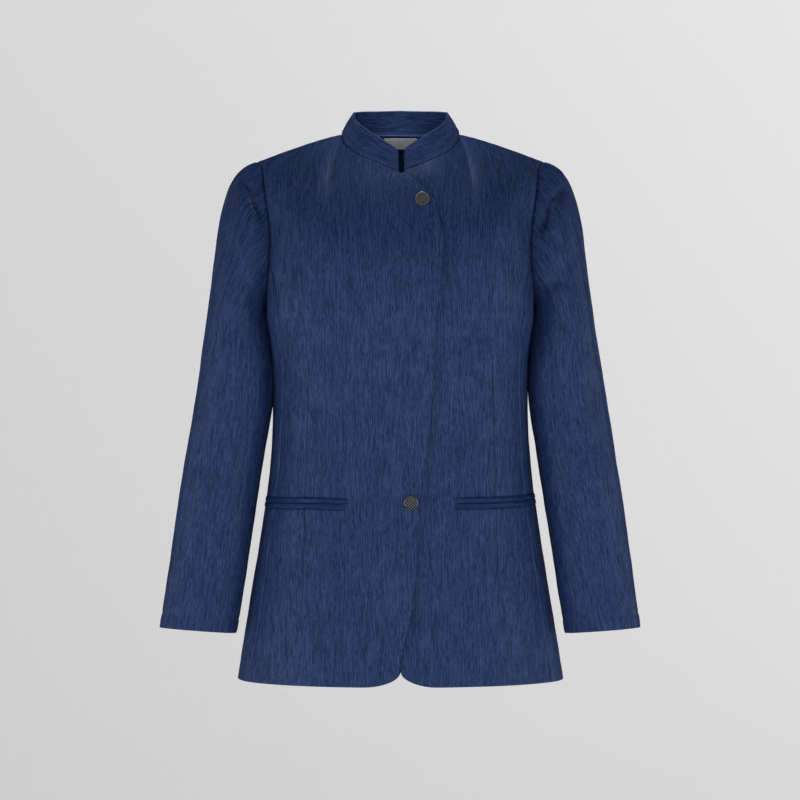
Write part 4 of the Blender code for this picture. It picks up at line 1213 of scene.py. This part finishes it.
def dartShadeLines():
    # painted shade: dark lines painted along the long darts on both fronts, over their shallow troughs
    group = bpy.data.node_groups.new("dartShadeLines", "ShaderNodeTree")
    group.interface.new_socket("Place", in_out="INPUT", socket_type="NodeSocketVector")
    group.interface.new_socket("Line", in_out="OUTPUT", socket_type="NodeSocketFloat")
    entry = addNode(group, "NodeGroupInput", (-1000, 0))
    leave = addNode(group, "NodeGroupOutput", (600, 0))
    parts = addNode(group, "ShaderNodeSeparateXYZ", (-800, 0))
    group.links.new(entry.outputs["Place"], parts.inputs[0])
    aside = mathNode(group, (-600, 200), "ABSOLUTE", parts.outputs[0])
    middle = mathNode(group, (-600, 0), "MULTIPLY_ADD", parts.outputs[2], dartShade["slope"], dartShade["aside"])
    off = mathNode(group, (-500, 150), "SUBTRACT", aside, middle)
    off = mathNode(group, (-400, 150), "ABSOLUTE", off)
    line = mathNode(group, (-300, 150), "DIVIDE", off, dartShade["width"])
    line = mathNode(group, (-200, 150), "SUBTRACT", 1.0, line)
    ends = mathNode(group, (-500, -100), "SUBTRACT", parts.outputs[2], dartShade["middle"])
    ends = mathNode(group, (-400, -100), "ABSOLUTE", ends)
    ends = mathNode(group, (-300, -100), "SUBTRACT", dartShade["reach"], ends)
    fade = mathNode(group, (-200, -100), "DIVIDE", ends, dartShade["fade"])
    inFront = mathNode(group, (-200, -300), "MULTIPLY", parts.outputs[1], dartShade["frontOnly"])
    mask = 1.0
    for place, value in enumerate((line, fade, inFront)):
        held = addNode(group, "ShaderNodeClamp", (0, 200 - 200 * place))
        group.links.new(value, held.inputs["Value"])
        mask = mathNode(group, (200, 200 - 200 * place), "MULTIPLY", mask, held.outputs[0])
    group.links.new(mask, leave.inputs["Line"])
    return group


darts = dartShadeLines()


def clothMaterial(name, look):
    made = bpy.data.materials.new(name)
    made.use_nodes = True
    tree = made.node_tree
    shader = tree.nodes["Principled BSDF"]
    grain = addNode(tree, "ShaderNodeUVMap", (-900, 0), uv_map="grain")
    yarn = addNode(tree, "ShaderNodeGroup", (-700, 0), node_tree=weave)
    yarn.inputs["Slub Width"].default_value = slubs["width"]
    yarn.inputs["Slub Length"].default_value = slubs["length"]
    yarn.inputs["Contrast"].default_value = look["contrast"]
    tree.links.new(grain.outputs[0], yarn.inputs["Grain"])
    mix = addNode(tree, "ShaderNodeMix", (-400, 150), data_type="RGBA")
    mix.inputs["A"].default_value = look["dark"]
    mix.inputs["B"].default_value = look["light"]
    tree.links.new(yarn.outputs["Shade"], mix.inputs["Factor"])
    colour = mix.outputs["Result"]
    # painted shade: the cloth's dark colour, darker still, mixed in along the darts
    if look["darts"]:
        spot = addNode(tree, "ShaderNodeTexCoord", (-900, 400))
        lines = addNode(tree, "ShaderNodeGroup", (-700, 400), node_tree=darts)
        tree.links.new(spot.outputs["Object"], lines.inputs["Place"])
        shaded = addNode(tree, "ShaderNodeMix", (-200, 250), data_type="RGBA")
        shaded.inputs["B"].default_value = [value * (1.0 - dartShade["shade"]) for value in look["dark"][:3]] + [1.0]
        strength = mathNode(tree, (-500, 400), "MULTIPLY", lines.outputs["Line"], dartShade["shade"])
        tree.links.new(strength, shaded.inputs["Factor"])
        tree.links.new(colour, shaded.inputs["A"])
        colour = shaded.outputs["Result"]
    tree.links.new(colour, shader.inputs["Base Color"])
    rough = addNode(tree, "ShaderNodeMapRange", (-400, -100))
    rough.inputs["To Min"].default_value = look["roughness"][1]
    rough.inputs["To Max"].default_value = look["roughness"][0]
    tree.links.new(yarn.outputs["Shade"], rough.inputs["Value"])
    # seen edge-on the yarns scatter the light, so there is no pale rim
    edgeOn = addNode(tree, "ShaderNodeLayerWeight", (-700, -300))
    edgeOn.inputs["Blend"].default_value = 0.5
    matt = addNode(tree, "ShaderNodeMapRange", (-550, -300))
    matt.inputs["From Min"].default_value, matt.inputs["From Max"].default_value = slubs["edgeOn"]
    tree.links.new(edgeOn.outputs["Facing"], matt.inputs["Value"])
    total = mathNode(tree, (-250, -100), "ADD", rough.outputs[0], matt.outputs[0])
    tree.links.new(total, shader.inputs["Roughness"])
    bump = addNode(tree, "ShaderNodeBump", (-250, -300))
    bump.inputs["Strength"].default_value = look["bump"]
    bump.inputs["Distance"].default_value = slubs["relief"]
    tree.links.new(yarn.outputs["Height"], bump.inputs["Height"])
    tree.links.new(bump.outputs[0], shader.inputs["Normal"])
    shader.inputs["Specular IOR Level"].default_value = look["specular"]
    shader.inputs["IOR"].default_value = slubs["refraction"]
    shader.inputs["Specular Tint"].default_value = look["tint"]
    return made


def metalMaterial():
    # near black below the button's top, between and under the wires and round its sides: partly the antique
    # finish, partly painted shade; what stands up is bright, with a patina
    made = bpy.data.materials.new("antiqueMetal")
    made.use_nodes = True
    tree = made.node_tree
    shader = tree.nodes["Principled BSDF"]
    raised = addNode(tree, "ShaderNodeAttribute", (-900, 100), attribute_name="raised")
    place = addNode(tree, "ShaderNodeTexCoord", (-900, -150))
    patina = addNode(tree, "ShaderNodeTexNoise", (-700, -150))
    patina.inputs["Scale"].default_value = metal["patinaScale"]
    patina.inputs["Detail"].default_value = metal["patinaDetail"]
    tree.links.new(place.outputs["Object"], patina.inputs["Vector"])
    wornAndLit = mathNode(tree, (-500, 0), "MULTIPLY_ADD", patina.outputs["Fac"], *metal["wear"])
    wornAndLit = mathNode(tree, (-350, 50), "MULTIPLY", raised.outputs["Fac"], wornAndLit)
    tone = addNode(tree, "ShaderNodeMix", (-200, 100), data_type="RGBA")
    tone.inputs["A"].default_value = metal["darkPatinaAndShade"]
    tone.inputs["B"].default_value = metal["raised"]
    tree.links.new(wornAndLit, tone.inputs["Factor"])
    tree.links.new(tone.outputs["Result"], shader.inputs["Base Color"])
    rough = addNode(tree, "ShaderNodeMapRange", (-200, -150))
    rough.inputs["To Min"].default_value = metal["roughness"][1]
    rough.inputs["To Max"].default_value = metal["roughness"][0]
    tree.links.new(wornAndLit, rough.inputs["Value"])
    tree.links.new(rough.outputs[0], shader.inputs["Roughness"])
    bump = addNode(tree, "ShaderNodeBump", (-200, -350))
    bump.inputs["Strength"].default_value = metal["bump"]
    bump.inputs["Distance"].default_value = metal["relief"]
    tree.links.new(patina.outputs["Fac"], bump.inputs["Height"])
    tree.links.new(bump.outputs[0], shader.inputs["Normal"])
    shader.inputs["Metallic"].default_value = metal["metallic"]
    return made


suitingMaterial = clothMaterial("suitingCloth", suiting)
shadedWeltMaterial = clothMaterial("shadedWeltCloth", shadedWeltCloth)
labelMaterial = clothMaterial("labelSatin", satin)
buttonMaterial = metalMaterial()
print("cloth and metal finishes are ready")

# Panels, sleeves and collar

def bodyMiddle(points):
    # on the body's axis, a little lower than the cloth, so that the shoulders face up
    return points * np.array([0.0, 0.0, 1.0]) - np.array([0.0, 0.0, 0.05])


def sleeveMiddle(side):
    def middle(points):
        low, high = sleeve["rings"][0][0], sleeve["rings"][-1][0]
        return sleeveCentre(np.clip(points[..., 2], low, high), side)
    return middle


rightFront, rightEnd, rightNeck = frontPanel(-1, overlap, False)
leftFront, leftEnd, leftNeck = frontPanel(1, underlap, True)
rightBack, leftBack = backPanel(-1), backPanel(1)
rightSide, leftSide = sidePanel(-1), sidePanel(1)
neckLast = len(neckSteps) - 1

sewnRound = ("top", "first", "last")
sheets = {}
for name, grid in (("frontRight", rightFront), ("frontLeft", leftFront)):
    sheets[name] = ClothSheet(name, grid, bodyMiddle, ("top", "last"), ("bottom", "first"))
for name, grid in (
    ("backRight", rightBack),
    ("backLeft", leftBack),
    ("sideRight", rightSide),
    ("sideLeft", leftSide),
):
    sheets[name] = ClothSheet(name, grid, bodyMiddle, sewnRound, ("bottom",))

outerLines = {}
for word, side, front, back, panel in (
    ("Right", -1, rightFront, rightBack, rightSide),
    ("Left", 1, leftFront, leftBack, leftSide),
):
    down = front[cornerRow:, -1][::-1]
    up = back[cornerRow:, -1]
    loop = np.concatenate([down, panel[-1, 1:-1], up])
    tube = sleeveGrid(loop, side)[::-1]
    outerLines[side] = tube[:, 0].copy()
    closed = tube[:, :-1]
    count = closed.shape[1]
    start = len(down) - 1 + underStep
    end = len(down) - 1 + len(sideSteps) - 1
    over = [index % count for index in range(end, count + start + 1)]
    for name, part in (("topSleeve" + word, closed[:, over]), ("underSleeve" + word, closed[:, start : end + 1])):
        sheets[name] = ClothSheet(name, part, sleeveMiddle(side), sewnRound, ("bottom",))

base = np.concatenate([
    rightFront[-1, rightEnd:rightNeck + 1],
    rightBack[-1, :neckLast][::-1],
    leftBack[-1, 1:neckLast + 1],
    leftFront[-1, leftEnd:leftNeck][::-1],
])
sheets["collarBand"] = ClothSheet("collarBand", collarGrid(base), bodyMiddle, ("bottom",), sewnRound)
shareSeams(list(sheets.values()))

for name, sheet in sheets.items():
    if name == "collarBand":
        sheet.sew()
    else:
        sheet.sew([("bottom", hems["sleeve" if "Sleeve" in name else "body"])])
print("panels, sleeves and collar are shaped")

# each panel is cut from another stretch of the cloth
clothShift = (1.37, 0.71)

# node, flat width and length of the cut, its flat area
cuts = {
    "frontRight": ("front_right", (0.300, 0.745), 0.15935),
    "frontLeft": ("front_left", (0.275, 0.745), 0.14770),
    "backRight": ("back_right", (0.230, 0.770), 0.13259),
    "backLeft": ("back_left", (0.230, 0.770), 0.13250),
    "sideRight": ("side_right", (0.165, 0.520), 0.07047),
    "sideLeft": ("side_left", (0.165, 0.520), 0.07038),
    "topSleeveRight": ("top_sleeve_right", (0.320, 0.650), 0.14270),
    "topSleeveLeft": ("top_sleeve_left", (0.320, 0.650), 0.14263),
    "underSleeveRight": ("under_sleeve_right", (0.130, 0.520), 0.03633),
    "underSleeveLeft": ("under_sleeve_left", (0.130, 0.520), 0.03624),
    "collarBand": ("collar", (0.470, 0.040), 0.01506),
    "weltUpperRight": ("welt_upper_right", (0.140, 0.010), 0.00121),
    "weltLowerRight": ("welt_lower_right", (0.140, 0.010), 0.00122),
    "weltUpperLeft": ("welt_upper_left", (0.140, 0.010), 0.00120),
    "weltLowerLeft": ("welt_lower_left", (0.140, 0.010), 0.00122),
    "neckLabel": ("neck_label", (0.046, 0.0142), 0.00065),
}

for place, (name, sheet) in enumerate(sheets.items()):
    if name == "collarBand":
        grain = bandGrain(sheet)
    else:
        grain = sleeveGrain(sheet) if "Sleeve" in name else panelGrain(sheet)
    made = makeCloth(sheet, suitingMaterial, cloth["wall"], grain, (place * clothShift[0], place * clothShift[1]))
    declareCloth(made)

for place, (word, side) in enumerate((("Right", -1), ("Left", 1))):
    for upper in (True, False):
        name = ("weltUpper" if upper else "weltLower") + word
        strip = ClothSheet(name, weltGrid(side, upper), bodyMiddle, (), ("top", "bottom", "first", "last"))
        shift = (place * 0.63 + upper * 0.21, 4.1 + place)
        made = makeCloth(strip, shadedWeltMaterial, welt["wall"], bandGrain(strip), shift)
        declareCloth(made)

tag = ClothSheet("neckLabel", labelGrid(), bodyMiddle, (), ("top", "bottom", "first", "last"))
made = makeCloth(tag, labelMaterial, label["wall"], bandGrain(tag), (7.3, 2.2))
declareCloth(made)
print("welts and label are sewn on")

# Buttons
button = {
    "radius": 0.0093,
    "spokes": 96,
    # share of the radius, height off the cloth
    "profile": (
        (0.24, 0.0000),
        (0.24, 0.0016),
        (0.72, 0.0018),
        (0.94, 0.0024),
        (1.00, 0.0033),
        (1.00, 0.0041),
        (0.97, 0.0049),
        (0.91, 0.0053),
        (0.85, 0.0050),
        (0.81, 0.0042),
    ),
    "wire": 0.00052,
    "wireGap": 0.00280,
    "wireTurns": (40.0, -40.0),
    "wireLift": 0.00014,
    "frontal": 1.2,  # how far a button tips forward on its shank
    "stand": 0.0012,
    "raisedFrom": 0.0042,
    "raisedOver": 0.0004,
    "wireSides": 10,
    "smoothUnder": 40.0,
}


def turnBody(name):
    # a disc drawn up and out, ring by ring
    first = button["profile"][0]
    bpy.ops.object.select_all(action="DESELECT")
    bpy.ops.mesh.primitive_circle_add(
        vertices=button["spokes"], radius=first[0] * button["radius"], fill_type="NGON", location=(0, 0, first[1])
    )
    made = bpy.context.object
    made.name = made.data.name = name
    bpy.ops.object.mode_set(mode="EDIT")
    bpy.ops.mesh.select_all(action="SELECT")
    for low, high in zip(button["profile"], button["profile"][1:]):
        bpy.ops.mesh.extrude_region_move(TRANSFORM_OT_translate={"value": (0, 0, high[1] - low[1])})
        grow = high[0] / low[0]
        bpy.ops.transform.resize(value=(grow, grow, 1.0))
    bpy.ops.mesh.select_all(action="SELECT")
    bpy.ops.mesh.normals_make_consistent(inside=False)
    bpy.ops.object.mode_set(mode="OBJECT")
    return made


def layWires(floorHeight, reach):
    wires = []
    for layer, turn in enumerate(button["wireTurns"]):
        turn = math.radians(turn)
        count = int(reach / button["wireGap"])
        for step in range(-count, count + 1):
            off = step * button["wireGap"]
            chord = 2.0 * math.sqrt(reach ** 2 - off ** 2)
            if chord < 4.0 * button["wire"]:
                continue
            place = (-off * math.sin(turn), off * math.cos(turn), floorHeight + button["wireLift"] * (1 + layer))
            bpy.ops.mesh.primitive_cylinder_add(
                vertices=button["wireSides"],
                radius=button["wire"],
                depth=chord,
                location=place,
                rotation=(0, math.pi / 2, turn),
            )
            wires.append(bpy.context.object)
    return wires


def buttonSeat(node):
    # the button's axis is the direction in which its solid is thinnest
    points = np.array([vertex.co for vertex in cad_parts[node].data.vertices])
    middle = points.mean(axis=0)
    facing = np.linalg.svd(points - middle)[2][2]
    facing = facing if facing[1] < 0 else -facing
    seat = middle + facing * ((points - middle) @ facing).min()
    panel = sheets["frontRight"].grid.reshape(-1, 3)
    nearest = panel[np.argmin(np.hypot(panel[:, 0] - seat[0], panel[:, 2] - seat[2]))]
    seat = seat + facing * ((nearest - seat) @ facing + button["stand"])
    tipped = unit(facing + np.array([0.0, -1.0, 0.0]) * button["frontal"])
    half = 0.5 * button["profile"][-1][1]
    flat = points - middle - np.outer((points - middle) @ facing, facing)
    return seat + (facing - tipped) * half, tipped, np.linalg.norm(flat, axis=1).max() / button["radius"]


def makeButton(name, node, drop):
    made = turnBody(name)
    reach = button["profile"][-1][0] * button["radius"]
    wires = layWires(button["profile"][-1][1], reach)
    bpy.ops.object.select_all(action="DESELECT")
    for wire in wires:
        wire.select_set(True)
    made.select_set(True)
    bpy.context.view_layer.objects.active = made
    bpy.ops.object.join()
    bpy.ops.object.shade_smooth_by_angle(angle=math.radians(button["smoothUnder"]))
    # painted shade together with the antique finish: points below the top of the rim and the wires get the
    # near-black colour
    heights = np.array([vertex.co[2] for vertex in made.data.vertices])
    raised = made.data.attributes.new("raised", "FLOAT", "POINT")
    wornAndLit = np.clip((heights - button["raisedFrom"]) / button["raisedOver"], 0.0, 1.0)
    raised.data.foreach_set("value", wornAndLit.astype(np.float32))
    seat, facing, size = buttonSeat(node)
    turn = Vector(facing).to_track_quat("Z", "Y").to_matrix().to_4x4()
    made.matrix_world = Matrix.Translation(seat - np.array([0.0, 0.0, drop])) @ turn @ Matrix.Scale(size, 4)
    bpy.ops.object.transform_apply(location=True, rotation=True, scale=True)
    bpy.ops.object.select_all(action="DESELECT")
    made.data.materials.append(buttonMaterial)
    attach(made, "root")
    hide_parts(node)
    print(name, len(made.data.polygons), "faces at", [round(float(v), 4) for v in seat])


makeButton("buttonTop", "button_top", 0.0018)
makeButton("buttonLower", "button_lower", 0.0)
